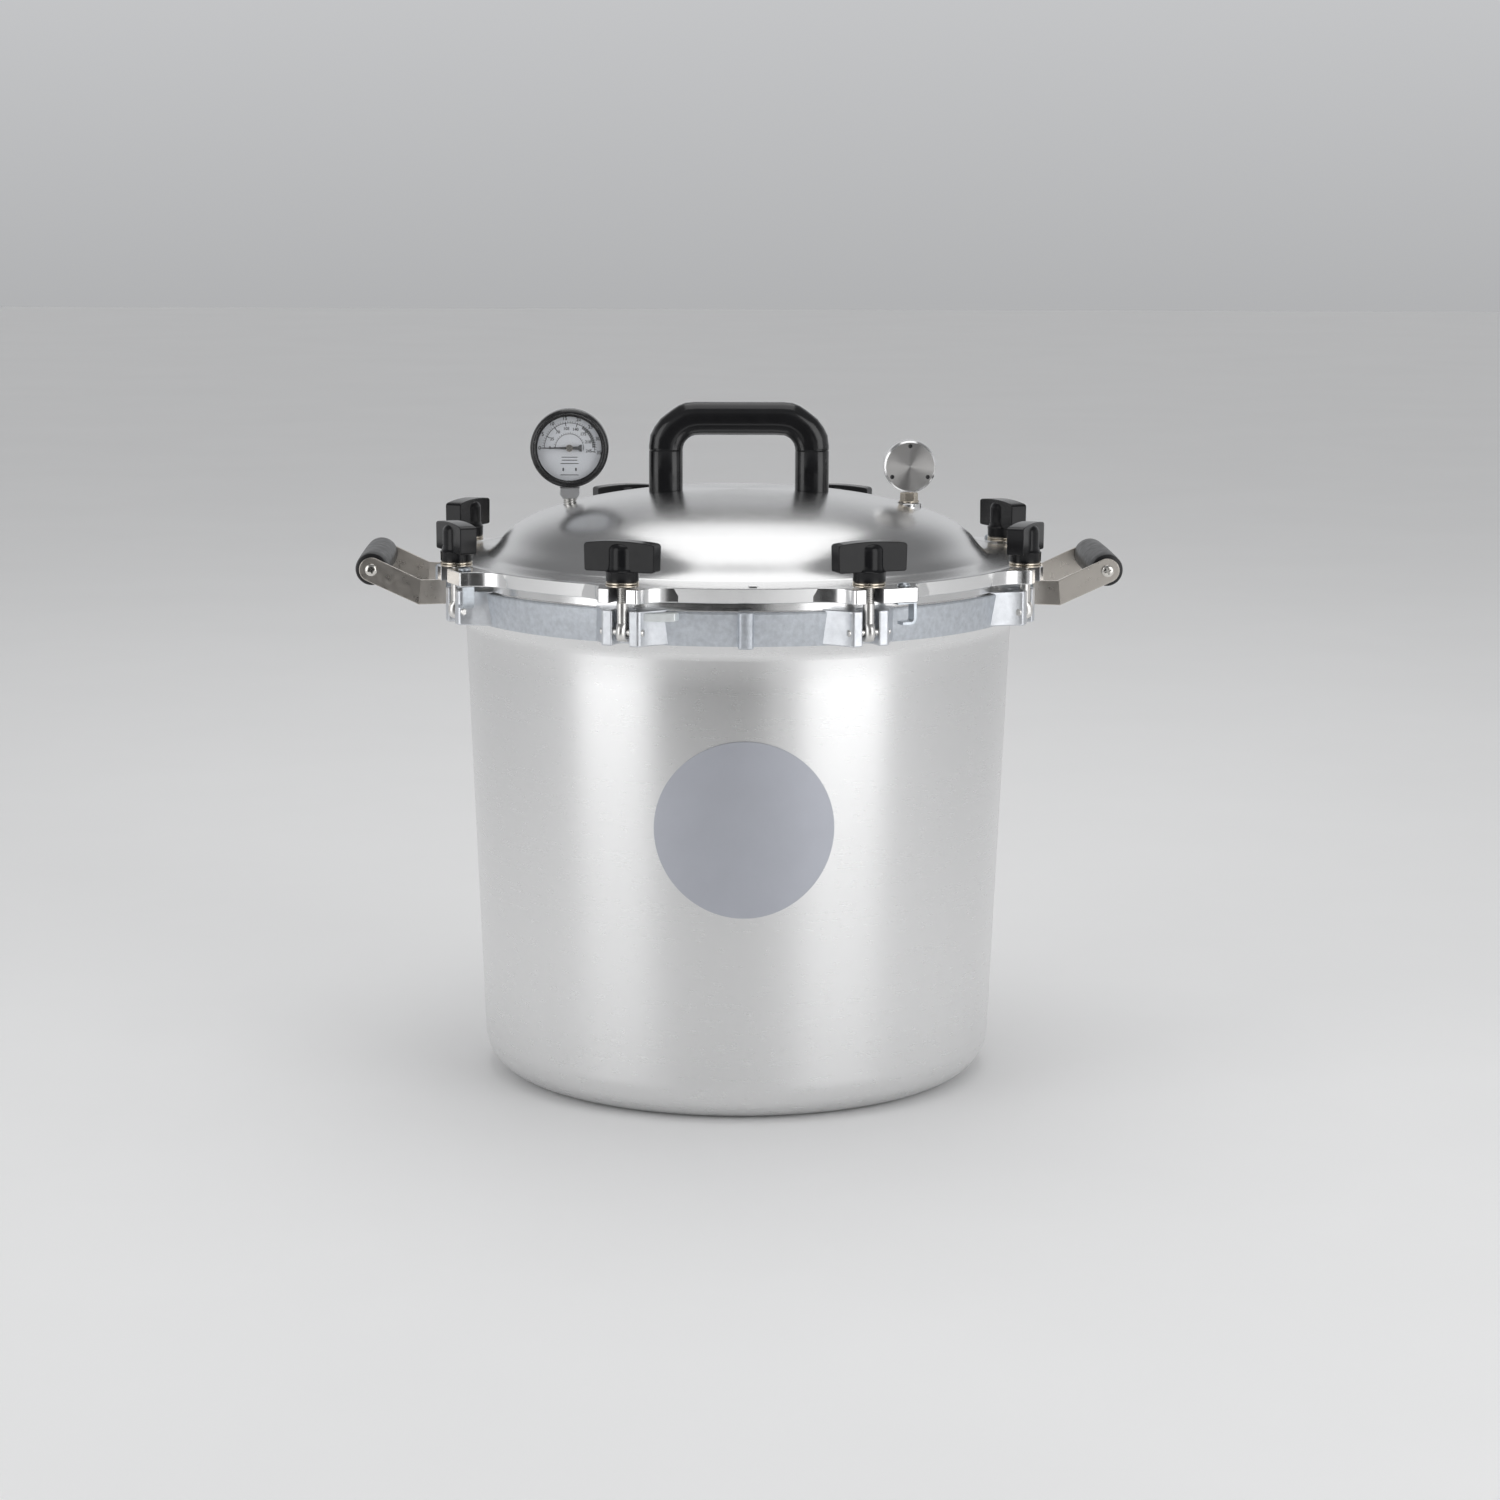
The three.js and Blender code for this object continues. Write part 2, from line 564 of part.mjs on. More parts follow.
add("gauge_stem", gaugeStem(), MATERIAL.steel);
add("gauge_case", gaugeCase(), MATERIAL.phenolic);
add("gauge_bezel", gaugeBezel(), MATERIAL.phenolic);
add("gauge_dial", gaugeDial(), MATERIAL.dial);
add("gauge_needle", gaugeNeedle(), MATERIAL.phenolic);
add("gauge_lens", gaugeLens(), MATERIAL.glass);
add("vent_pipe", ventPipe(), MATERIAL.steel);
add("regulator_weight", regulatorWeight(), MATERIAL.polished);
add("overpressure_plug", overpressurePlug(), MATERIAL.rubber);

export default canner;
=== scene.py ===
import math

import bmesh
import bpy
from mathutils import Matrix, Vector


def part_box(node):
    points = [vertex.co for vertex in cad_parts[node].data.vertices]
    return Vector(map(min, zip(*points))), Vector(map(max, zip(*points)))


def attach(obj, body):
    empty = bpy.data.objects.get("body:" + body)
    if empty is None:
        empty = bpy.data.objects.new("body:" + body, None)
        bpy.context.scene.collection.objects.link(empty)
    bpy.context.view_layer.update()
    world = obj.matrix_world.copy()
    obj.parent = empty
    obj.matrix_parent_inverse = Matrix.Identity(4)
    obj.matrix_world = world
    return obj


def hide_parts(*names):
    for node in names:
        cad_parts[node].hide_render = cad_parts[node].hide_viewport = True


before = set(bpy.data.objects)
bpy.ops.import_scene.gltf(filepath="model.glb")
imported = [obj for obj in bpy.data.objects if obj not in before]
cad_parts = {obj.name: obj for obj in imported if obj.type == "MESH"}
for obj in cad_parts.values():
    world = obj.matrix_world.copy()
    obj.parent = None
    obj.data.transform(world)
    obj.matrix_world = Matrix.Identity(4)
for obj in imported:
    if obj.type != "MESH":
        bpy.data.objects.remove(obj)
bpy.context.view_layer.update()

MM = 0.001


def box_mm(node):
    """Lowest and highest corner of a CAD node, in millimetres."""
    low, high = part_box(node)
    return [v / MM for v in low], [v / MM for v in high]


# ---------------- sizes read from the frame

CLAMPS = 8
_, POT_HIGH = box_mm("pot_body")
_, HANDLE_HIGH = box_mm("top_handle")
BEZEL_LOW, BEZEL_HIGH = box_mm("gauge_bezel")
WEIGHT_LOW, WEIGHT_HIGH = box_mm("regulator_weight")
_, VENT_HIGH = box_mm("vent_pipe")
PLUG_LOW, PLUG_HIGH = box_mm("overpressure_plug")
GRIP_LOW, GRIP_HIGH = box_mm("side_grip_right")
_, ROD_HIGH = box_mm("grip_rod_right")
LABEL_LOW, LABEL_HIGH = box_mm("label")
NUT_LOW, NUT_HIGH = box_mm("wing_nut_1")
WASHER_LOW, WASHER_HIGH = box_mm("nut_washer_1")
_, BOLT_HIGH = box_mm("swing_bolt_1")

RIM_Z = POT_HIGH[2]
HANDLE_TOP = HANDLE_HIGH[2]
HANDLE_HALF = HANDLE_HIGH[0]
GAUGE_X = (BEZEL_LOW[0] + BEZEL_HIGH[0]) / 2
GAUGE_Z = (BEZEL_LOW[2] + BEZEL_HIGH[2]) / 2
GAUGE_RADIUS = (BEZEL_HIGH[2] - BEZEL_LOW[2]) / 2
VENT_X = (WEIGHT_LOW[0] + WEIGHT_HIGH[0]) / 2
VENT_TOP = VENT_HIGH[2]
WEIGHT_Z = (WEIGHT_LOW[2] + WEIGHT_HIGH[2]) / 2
WEIGHT_RADIUS = (WEIGHT_HIGH[2] - WEIGHT_LOW[2]) / 2
WEIGHT_HALF = WEIGHT_HIGH[1]
PLUG_Y = (PLUG_LOW[1] + PLUG_HIGH[1]) / 2
ROD_X = (GRIP_LOW[0] + GRIP_HIGH[0]) / 2
ROD_Z = (GRIP_LOW[2] + GRIP_HIGH[2]) / 2
GRIP_RADIUS = (GRIP_HIGH[2] - GRIP_LOW[2]) / 2
GRIP_HALF = GRIP_HIGH[1]
ROD_END = ROD_HIGH[1]
LABEL_Z = (LABEL_LOW[2] + LABEL_HIGH[2]) / 2
LABEL_RADIUS = (LABEL_HIGH[2] - LABEL_LOW[2]) / 2
NUT_Z, NUT_TOP = NUT_LOW[2], NUT_HIGH[2]
WASHER_Z, WASHER_TOP = WASHER_LOW[2], WASHER_HIGH[2]
BOLT_TOP = BOLT_HIGH[2]

# ---------------- other sizes of the pot and lid

WALL = 6.5
BASE_RADIUS = 187.3
BASE_FILLET = 29
FLOOR = 8
NECK_RADIUS, NECK_Z = 199.7, 330
COLLAR_Z = 365
RIM_RADIUS = 203
MOUTH_RADIUS = 193.5
GAP = 0.3  # clearance between neighbouring pieces
FLANGE_Z = RIM_Z + GAP
FLANGE_TOP = FLANGE_Z + 10.3
FLANGE_RADIUS = 209.5
DOME = [(182.5, 383.6), (178, 387.5), (170, 397), (160, 404.6), (145, 411.5), (120, 418.9),
        (85, 425.2), (45, 428.7), (0, 429.6)]
VENT_SEAT, PLUG_SEAT = 419.3, 417.6
VENT_SEAT_RADIUS, PLUG_SEAT_RADIUS = 9, 10.5
VENT_BORE, PLUG_BORE = 5.2, 6.6
BOLT_CIRCLE = 219
SLOT_HALF = 6.25
LUG_RADIUS = 223
LUG_LOW, LUG_HIGH = 341.5, 366
LEDGE_LOW, LEDGE_HIGH = 358.5, 364.5
LEDGE_FRONT, LEDGE_OUTER = 220, 213
SHORT_LEDGE, LONG_LEDGE = 18, 35
EAR_RADIUS = 228.5
EAR_HALF = 15.25
HOOKED_REACH = 34
HOOK_X, HOOK_Y = 25, 221.8
HOOK_FOOT = 355.4
PIN_Z = 351
PIN_RADIUS, PIN_HALF = 2.5, 16
BOLT_RADIUS = 4
EYE_RADIUS, EYE_HALF = 6.3, 4.3
THREAD_PITCH = 1.41
DIAL_FACE, INK_FACE = 7.3, 7.36  # distance in front of the gauge's middle
THREAD_FROM = 371
NUT_RADIUS = 11.5
WING_HALF = 26
WING_THICK = 12.4
STRAP_Y = 55
STRAP_THICK = 2.5
STRAP_HALF = 8.75
STRAP_BEND = (230.5, 359.8)
STRAP_TURN = math.radians(9.6)
POLE = 1e-6  # a point nearer the axis than this is on it


# ---------------- drawing helpers

def arc(cx, cy, radius, start, end, steps):
    """Points of an arc, angles in degrees."""
    angles = [math.radians(start + (end - start) * i / steps) for i in range(steps + 1)]
    return [(cx + radius * math.cos(a), cy + radius * math.sin(a)) for a in angles]


def bend(a, control, b, steps=8):
    """Points of a quadratic curve from a to b."""
    out = []
    for i in range(steps + 1):
        t = i / steps
        out.append(tuple((1 - t) ** 2 * a[k] + 2 * t * (1 - t) * control[k] + t * t * b[k]
                         for k in (0, 1)))
    return out


def through(points, steps=6):
    """A smooth curve through the points (Catmull-Rom)."""
    ends = [points[0]] + list(points) + [points[-1]]
    out = []
    for i in range(1, len(ends) - 2):
        p0, p1, p2, p3 = (Vector(p) for p in ends[i - 1:i + 3])
        for s in range(steps):
            t = s / steps
            out.append(tuple(0.5 * (2 * p1 + (p2 - p0) * t + (2 * p0 - 5 * p1 + 4 * p2 - p3) * t ** 2
                                    + (3 * p1 - p0 - 3 * p2 + p3) * t ** 3)))
    return out + [tuple(points[-1])]


def lathe(outline, segments=96, closed=False):
    """(points, faces) of an outline of (radius, height) turned about Z, one row of faces per step."""
    points, rings, faces = [], [], []
    for r, z in outline:
        if r < POLE:
            rings.append([len(points)] * segments)
            points.append((0, 0, z))
        else:
            rings.append(list(range(len(points), len(points) + segments)))
            turn = 2 * math.pi / segments
            points += [(r * math.cos(turn * j), r * math.sin(turn * j), z) for j in range(segments)]
    for low, high in zip(rings, rings[1:] + (rings[:1] if closed else [])):
        for j in range(segments):
            k = (j + 1) % segments
            face = list(dict.fromkeys([low[j], low[k], high[k], high[j]]))
            if len(face) > 2:
                faces.append(face)
    return points, faces


def prism(outline, low, high):
    """(points, faces) of a flat outline raised from low to high."""
    n = len(outline)
    points = [(x, y, low) for x, y in outline] + [(x, y, high) for x, y in outline]
    faces = [list(range(n)), list(range(n, 2 * n))]
    faces += [[i, (i + 1) % n, n + (i + 1) % n, n + i] for i in range(n)]
    return points, faces


def block(x0, x1, y0, y1, z0, z1):
    return prism([(x0, y0), (x1, y0), (x1, y1), (x0, y1)], z0, z1)


def loft(sections):
    """(points, faces) of closed sections with the same number of points, capped at both ends."""
    n = len(sections[0])
    points = [p for section in sections for p in section]
    faces = [list(range(n)), list(range(len(points) - n, len(points)))]
    for s in range(len(sections) - 1):
        a, b = s * n, (s + 1) * n
        faces += [[a + i, a + (i + 1) % n, b + (i + 1) % n, b + i] for i in range(n)]
    return points, faces


def at(x=0, y=0, z=0):
    return Matrix.Translation((x, y, z))


def about(axis, degrees):
    return Matrix.Rotation(math.radians(degrees), 4, axis)


STAND_ALONG_Y = about("X", 90)  # height becomes distance towards the front


def clamp_turn(i):
    """Turns what is drawn at the front to clamp i."""
    return about("Z", 22.5 + i * 360 / CLAMPS)


def strap_place(sx, sy):
    """Puts what is drawn round a strap's bend at that bend, mirrored by the signs."""
    return Matrix.Diagonal((sx, sy, 1, 1)) @ at(STRAP_BEND[0], STRAP_Y, STRAP_BEND[1])


class Form:
    """Closed shapes gathered in millimetres, to become one piece."""

    def __init__(self):
        self.points, self.faces, self.paints = [], [], []

    def add(self, shape, place=Matrix(), paint=0):
        """paint is a material index, or one for each row of a lathe's faces."""
        points, faces = shape
        base = len(self.points)
        self.points += [place @ Vector(p) for p in points]
        self.faces += [[base + i for i in face] for face in faces]
        if isinstance(paint, int):
            self.paints += [paint] * len(faces)
        else:
            row = len(faces) // len(paint)
            self.paints += [paint[min(i // row, len(paint) - 1)] for i in range(len(faces))]
        return self

    def mesh(self, name, sharp=30):
        mesh = bpy.data.meshes.new(name)
        mesh.from_pydata([p * MM for p in self.points], [], self.faces)
        mesh.polygons.foreach_set("material_index", self.paints)
        made = bmesh.new()
        made.from_mesh(mesh)
        bmesh.ops.recalc_face_normals(made, faces=made.faces)
        made.to_mesh(mesh)
        made.free()
        mesh.shade_smooth()
        mesh.set_sharp_from_angle(angle=math.radians(sharp))
        return mesh


def piece(name, form, body, materials, replaces=(), rounding=0.0, sharp=30, rounds=2,
          cutters=()):
    """Makes the form a piece on a body. rounding is the radius of its edges, in millimetres."""
    mesh = form.mesh(name, sharp)
    item = bpy.data.objects.new(name, mesh)
    bpy.context.scene.collection.objects.link(item)
    for made in materials:
        mesh.materials.append(made)
    for cutter in cutters:
        subtract(item, cutter, sharp)
    if rounding:
        edge = item.modifiers.new("rounding", "BEVEL")
        edge.width = rounding * MM
        edge.segments = rounds
        edge.limit_method = "ANGLE"
        edge.angle_limit = math.radians(32)
        edge.harden_normals = True
    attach(item, body)
    if replaces:
        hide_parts(*replaces)
    return item


def subtract(item, cutter, sharp):
    """Cuts the cutter form out of the item, for good."""
    tool = bpy.data.objects.new("cutter", cutter.mesh("cutter"))
    bpy.context.scene.collection.objects.link(tool)
    cut = item.modifiers.new("cut", "BOOLEAN")
    cut.object = tool
    cut.solver = "EXACT"
    seen = item.evaluated_get(bpy.context.evaluated_depsgraph_get())
    result = bpy.data.meshes.new_from_object(seen)
    item.modifiers.remove(cut)
    item.data = result
    result.name = item.name
    result.shade_smooth()
    result.set_sharp_from_angle(angle=math.radians(sharp))
    bpy.data.objects.remove(tool)


# ---------------- materials

def fade(tree, source, start, end, low, high, smooth=True):
    """Runs from low to high while the source runs from start to end."""
    made = tree.nodes.new("ShaderNodeMapRange")
    if smooth:
        made.interpolation_type = "SMOOTHSTEP"
    for socket, value in zip(("From Min", "From Max", "To Min", "To Max"), (start, end, low, high)):
        made.inputs[socket].default_value = value
    tree.links.new(source, made.inputs["Value"])
    return made.outputs["Result"]


class Nodes:
    """A material's node tree, with its coordinates in the frame's metres."""

    def __init__(self, name):
        self.material = bpy.data.materials.new(name)
        self.material.use_nodes = True
        self.tree = self.material.node_tree
        self.shader = self.tree.nodes["Principled BSDF"]
        self.place = self.node("ShaderNodeTexCoord").outputs["Object"]

    def node(self, kind, **values):
        made = self.tree.nodes.new(kind)
        for key, value in values.items():
            setattr(made, key, value)
        return made

    def link(self, source, target):
        self.tree.links.new(source, target)

    def math(self, operation, a, b=None):
        made = self.node("ShaderNodeMath", operation=operation)
        for socket, value in zip(made.inputs, (a, b)):
            if isinstance(value, (int, float)):
                socket.default_value = value
            elif value is not None:
                self.link(value, socket)
        return made.outputs[0]

    def noise(self, scale, detail=3.0, roughness=0.55, vector=None):
        made = self.node("ShaderNodeTexNoise")
        made.inputs["Scale"].default_value = scale
        made.inputs["Detail"].default_value = detail
        made.inputs["Roughness"].default_value = roughness
        self.link(vector or self.place, made.inputs["Vector"])
        return made.outputs["Fac"]

    def spread(self, source, low, high):
        """Noise keeps near its middle, so that part is spread from low to high."""
        return fade(self.tree, source, 0.3, 0.7, low, high, smooth=False)

    def lines_round(self, scale, centre=(0, 0, 0), axis="Z"):
        """Noise that runs in rings round an axis, as a cutting tool leaves it."""
        moved = self.node("ShaderNodeVectorMath", operation="SUBTRACT")
        self.link(self.place, moved.inputs[0])
        moved.inputs[1].default_value = [v * MM for v in centre]
        parts = self.node("ShaderNodeSeparateXYZ")
        self.link(moved.outputs[0], parts.inputs[0])
        height = parts.outputs[axis]
        across = [parts.outputs[a] for a in "XYZ" if a != axis]
        squares = self.math("ADD", *(self.math("MULTIPLY", a, a) for a in across))
        step = self.math("ADD", self.math("SQRT", squares), self.math("MULTIPLY", height, 0.93))
        made = self.node("ShaderNodeTexNoise", noise_dimensions="1D")
        made.inputs["Scale"].default_value = scale
        made.inputs["Detail"].default_value = 4.0
        self.link(step, made.inputs["W"])
        return made.outputs["Fac"]

    def colour(self, base, source, depth):
        """The base colour, varied by the source to darker and lighter by the depth."""
        ramp = self.node("ShaderNodeValToRGB")
        ramp.color_ramp.elements[0].position = 0.3
        ramp.color_ramp.elements[1].position = 0.7
        ramp.color_ramp.elements[0].color = [*(c * (1 - depth) for c in base), 1]
        ramp.color_ramp.elements[1].color = [*(min(1, c * (1 + depth)) for c in base), 1]
        self.link(source, ramp.inputs["Fac"])
        self.link(ramp.outputs["Color"], self.shader.inputs["Base Color"])

    def bump(self, source, height):
        """Relief of that height in millimetres, on top of any relief added before."""
        made = self.node("ShaderNodeBump")
        made.inputs["Distance"].default_value = height * MM
        self.link(source, made.inputs["Height"])
        before = self.shader.inputs["Normal"]
        if before.links:
            self.link(before.links[0].from_socket, made.inputs["Normal"])
        self.link(made.outputs["Normal"], before)


def surface(name, base, roughness, metallic=1.0, mottle=0.03, mottle_scale=30, vary=0.04,
            grain=900, relief=0.004, turned=None, anisotropic=0.0, coat=0.0, specular=0.5):
    """A metal, plastic or paint with mottled colour, uneven gloss, grain and perhaps tool marks.

    turned is (axis, centre, line frequency per metre, height in millimetres).
    """
    n = Nodes(name)
    n.shader.inputs["Metallic"].default_value = metallic
    n.shader.inputs["Coat Weight"].default_value = coat
    n.shader.inputs["Coat Roughness"].default_value = 0.08
    n.shader.inputs["Specular IOR Level"].default_value = specular
    n.colour(base, n.noise(mottle_scale, 4), mottle)
    gloss = n.spread(n.noise(grain / 8, 5), roughness - vary, roughness + vary)
    if turned:
        axis, centre, frequency, height = turned
        lines = n.lines_round(frequency, centre, axis)
        gloss = n.math("ADD", gloss, n.spread(lines, -vary, vary))
        n.bump(lines, height)
        if anisotropic:
            n.shader.inputs["Anisotropic"].default_value = anisotropic
            n.shader.inputs["Anisotropic Rotation"].default_value = 0.25  # across the tool marks
            tangent = n.node("ShaderNodeTangent", direction_type="RADIAL", axis=axis)
            n.link(tangent.outputs["Tangent"], n.shader.inputs["Tangent"])
    n.link(gloss, n.shader.inputs["Roughness"])
    if relief:
        n.bump(n.noise(grain, 3), relief)
    return n.material


ON_Z = (0, 0, 0)
M = {
    "satin": surface("satin_aluminium", (0.82, 0.82, 0.82), 0.28, turned=("Z", ON_Z, 700, 0.00005),
                     anisotropic=0.5, mottle=0.006, mottle_scale=9, vary=0.006, relief=0),
    "dome": surface("dome_aluminium", (0.82, 0.82, 0.82), 0.24, turned=("Z", ON_Z, 900, 0.0003),
                    anisotropic=0.6, mottle=0.008, mottle_scale=9, vary=0.012, relief=0),
    "cast": surface("cast_aluminium", (0.60, 0.63, 0.67), 0.50, mottle=0.10, mottle_scale=260,
                    vary=0.08, grain=1100, relief=0.14),
    "lug": surface("lug_aluminium", (0.70, 0.72, 0.75), 0.40, mottle=0.07, mottle_scale=200,
                   vary=0.07, grain=1000, relief=0.08),
    # The ledge material is a paler copy of the cast aluminium: painted light, so the ledges' front faces
    # read as lit.
    "ledge": surface("ledge_lit_aluminium", (0.90, 0.93, 0.93), 0.58, mottle=0.04, mottle_scale=150,
                     vary=0.05, grain=1400, relief=0.05),
    # The slot material is a dark copy of the lid's aluminium: painted shade on the walls inside the
    # ears' slots.
    "slot": surface("slot_shade_aluminium", (0.34, 0.34, 0.35), 0.42, mottle=0.06, mottle_scale=150,
                    vary=0.06, grain=1400, relief=0.01),
    "machined": surface("machined_aluminium", (0.82, 0.82, 0.82), 0.20, mottle=0.02,
                        turned=("Z", ON_Z, 1800, 0.001), relief=0),
    "polished": surface("polished_aluminium", (0.88, 0.88, 0.88), 0.2, mottle=0.015,
                        turned=("Z", ON_Z, 1500, 0.0006), vary=0.02, relief=0),
    "stainless": surface("stainless_strap", (0.66, 0.62, 0.57), 0.30, mottle=0.03, mottle_scale=60,
                         grain=1600, relief=0.003),
    "nickel": surface("nickel_stem", (0.80, 0.80, 0.81), 0.46, mottle=0.03, mottle_scale=150,
                      grain=1400),
    "screw": surface("bright_screw", (0.72, 0.70, 0.66), 0.22, mottle=0.03, grain=1500),
    "steel": surface("plated_steel", (0.74, 0.73, 0.71), 0.30, mottle=0.06, mottle_scale=120,
                     grain=1400, relief=0.006),
    "zinc": surface("zinc_plate", (0.56, 0.60, 0.64), 0.36, mottle=0.12, mottle_scale=210, vary=0.07,
                    grain=700, relief=0.01),
    "brass": surface("nut_ring_metal", (0.66, 0.60, 0.51), 0.24, mottle=0.05, mottle_scale=150),
    "phenolic": surface("black_phenolic", (0.012, 0.012, 0.013), 0.17, metallic=0, mottle=0.12,
                        mottle_scale=70, vary=0.03, grain=1200, relief=0.001),
    "nut": surface("nut_phenolic", (0.010, 0.010, 0.011), 0.20, metallic=0, mottle=0.12,
                   mottle_scale=70, vary=0.03, grain=1200, relief=0.001, specular=0.26),
    "grip": surface("grip_plastic", (0.011, 0.011, 0.012), 0.34, metallic=0, mottle=0.3,
                    mottle_scale=90, vary=0.06, grain=1500, relief=0.01, specular=0.42),
    "case": surface("gauge_case_black", (0.014, 0.014, 0.015), 0.28, metallic=0, mottle=0.2,
                    grain=1700, relief=0.006, coat=0.2),
    "rim": surface("gauge_rim_metal", (0.60, 0.60, 0.60), 0.2, mottle=0.04, grain=1500),
    "dial": surface("dial_enamel", (0.74, 0.755, 0.79), 0.45, metallic=0, mottle=0.015, grain=1800,
                    relief=0.002),
    "ink": surface("dial_ink", (0.02, 0.02, 0.022), 0.5, metallic=0, mottle=0.2, grain=3000,
                   relief=0.002),
    "needle": surface("needle_black", (0.018, 0.018, 0.02), 0.4, metallic=0, mottle=0.15, grain=2500,
                      relief=0.002),
    "weight": surface("weight_face", (0.58, 0.57, 0.56), 0.34,
                      turned=("Y", (VENT_X, 0, WEIGHT_Z), 1500, 0.0006),
                      anisotropic=0.95, mottle=0.02, vary=0.04, relief=0),
    "rubber": surface("black_rubber", (0.02, 0.02, 0.02), 0.62, metallic=0, mottle=0.2, grain=1600,
                      relief=0.02, specular=0.35),
    "label": surface("label_film", (0.48, 0.495, 0.545), 0.42, metallic=0.55, mottle=0.02,
                     mottle_scale=40, grain=2600, relief=0.003),
    "rack": surface("rack_aluminium", (0.70, 0.70, 0.70), 0.38, mottle=0.05, mottle_scale=60,
                    relief=0.01),
}


def glass():
    n = Nodes("gauge_glass")
    n.shader.inputs["Base Color"].default_value = (0.9, 0.93, 0.95, 1)
    n.shader.inputs["Alpha"].default_value = 0.05
    n.link(n.spread(n.noise(160, 3), 0.02, 0.07), n.shader.inputs["Roughness"])
    n.bump(n.noise(60, 2), 0.01)
    return n.material


M["glass"] = glass()


# ---------------- pot

def wall_radius(z):
    """Outside radius of the tapered wall at a height."""
    return BASE_RADIUS + (z - BASE_FILLET) * (NECK_RADIUS - BASE_RADIUS) / (NECK_Z - BASE_FILLET)


def build_pot():
    corner = BASE_RADIUS - BASE_FILLET
    satin = [(0, 0), *arc(corner, BASE_FILLET, BASE_FILLET, -90, 0, 16)]
    satin += [(wall_radius(z), z) for z in (80, 140, 200, 260, 310)]
    neck = through([(NECK_RADIUS, NECK_Z), (200.4, 334), (202.2, 338), (203.9, 341)], 4)
    collar = [(206.6, 361.5), (206.9, 363.4), (206.4, 364.5), (205.3, COLLAR_Z)]
    rim = [(RIM_RADIUS, COLLAR_Z + 0.6), (RIM_RADIUS, RIM_Z - 0.4), (RIM_RADIUS - 0.4, RIM_Z),
           (MOUTH_RADIUS + 2, RIM_Z), (MOUTH_RADIUS, RIM_Z - 5)]
    inside = [*arc(corner, BASE_FILLET + 1, BASE_FILLET - WALL, 0, -90, 12), (0, FLOOR)]
    outline = satin + neck + collar + rim + inside
    paint = [0] * (len(satin) + len(neck) - 1) + [1] * len(collar) + [2] * len(rim)
    paint += [0] * (len(outline) - 1 - len(paint))
    shell = Form().add(lathe(outline, 192), paint=paint)
    piece("pot_shell", shell, "pot", [M["satin"], M["cast"], M["machined"]],
          replaces=["pot_body"])
    build_castings()
    for i in range(CLAMPS):
        pin = [(0, -PIN_HALF), (1.9, -PIN_HALF), (PIN_RADIUS, 0.7 - PIN_HALF),
               (PIN_RADIUS, PIN_HALF - 0.7), (1.9, PIN_HALF), (0, PIN_HALF)]
        place = clamp_turn(i) @ at(0, -BOLT_CIRCLE, PIN_Z) @ about("Y", 90)
        piece(f"cross_pin_{i + 1}", Form().add(lathe(pin, 24), place), "pot", [M["steel"]],
              replaces=[f"bolt_pin_{i + 1}"])


def build_castings():
    """The lugs with their catch ledges, the bosses for the straps and the index rib."""
    casting = Form()
    right = [(12.8, -LUG_RADIUS), (14.4, -221.6), (15.2, -219), (19, -213), (24.5, -206), (28, -200)]
    slot = [(SLOT_HALF, -LUG_RADIUS), *arc(0, -212.5, SLOT_HALF, 0, 180, 10), (-SLOT_HALF, -LUG_RADIUS)]
    flank = [(-x, y) for x, y in reversed(right)] + slot[::-1] + right
    for i in range(CLAMPS):
        casting.add(prism(flank, LUG_LOW, LUG_HIGH), clamp_turn(i), paint=1)
        reach = SHORT_LEDGE if i % 2 == 0 else LONG_LEDGE
        start = SLOT_HALF + 1
        ledge = [(start, -200), (start, -LEDGE_FRONT + 0.4), (12, -LEDGE_FRONT),
                 (reach, -math.sqrt(LEDGE_OUTER ** 2 - reach ** 2)), (reach, -198)]
        # Each ledge takes the paler ledge material, painted light on the cast aluminium.
        casting.add(prism(ledge, LEDGE_LOW, LEDGE_HIGH), clamp_turn(i), paint=2)
    for sx in (-1, 1):
        for sy in (-1, 1):
            casting.add(block(-34, -7, -9.5, -STRAP_THICK / 2 - GAP, -8, 8),
                        strap_place(sx, sy) @ Matrix.Rotation(STRAP_TURN, 4, "Z"))
    rib_left = [(-5.4, -200), (-5.4, -209), (-4.2, -210.7), (-1.6, -211.5)]
    rib = rib_left + [(-x, y) for x, y in reversed(rib_left)]
    casting.add(prism(rib, 340, 365.2))
    piece("pot_castings", casting, "pot", [M["cast"], M["lug"], M["ledge"]],
          rounding=1.3, rounds=3)


def build_label():
    """A thin disc that follows the wall, from rings of points on its two sides."""
    rings, spokes = 12, 96
    points, faces = [], []
    for lift in (0.32, 0.58):
        for ring in range(rings + 1):
            for j in range(spokes if ring else 1):
                r = LABEL_RADIUS * ring / rings
                angle = 2 * math.pi * j / spokes
                x, z = r * math.cos(angle), LABEL_Z + r * math.sin(angle)
                radius = wall_radius(z) + lift
                points.append((x, -math.sqrt(radius ** 2 - x ** 2), z))

    def index(layer, ring, j):
        on_ring = 1 + (ring - 1) * spokes + j % spokes if ring else 0
        return layer * (1 + rings * spokes) + on_ring

    for layer in (0, 1):
        for ring in range(rings):
            for j in range(spokes):
                corners = [index(layer, ring, j), index(layer, ring, j + 1),
                           index(layer, ring + 1, j + 1), index(layer, ring + 1, j)]
                faces.append(list(dict.fromkeys(corners)))
    for j in range(spokes):
        faces.append([index(0, rings, j), index(0, rings, j + 1),
                      index(1, rings, j + 1), index(1, rings, j)])
    piece("front_label", Form().add((points, faces)), "pot", [M["label"]], replaces=["label"])


# ---------------- side handles

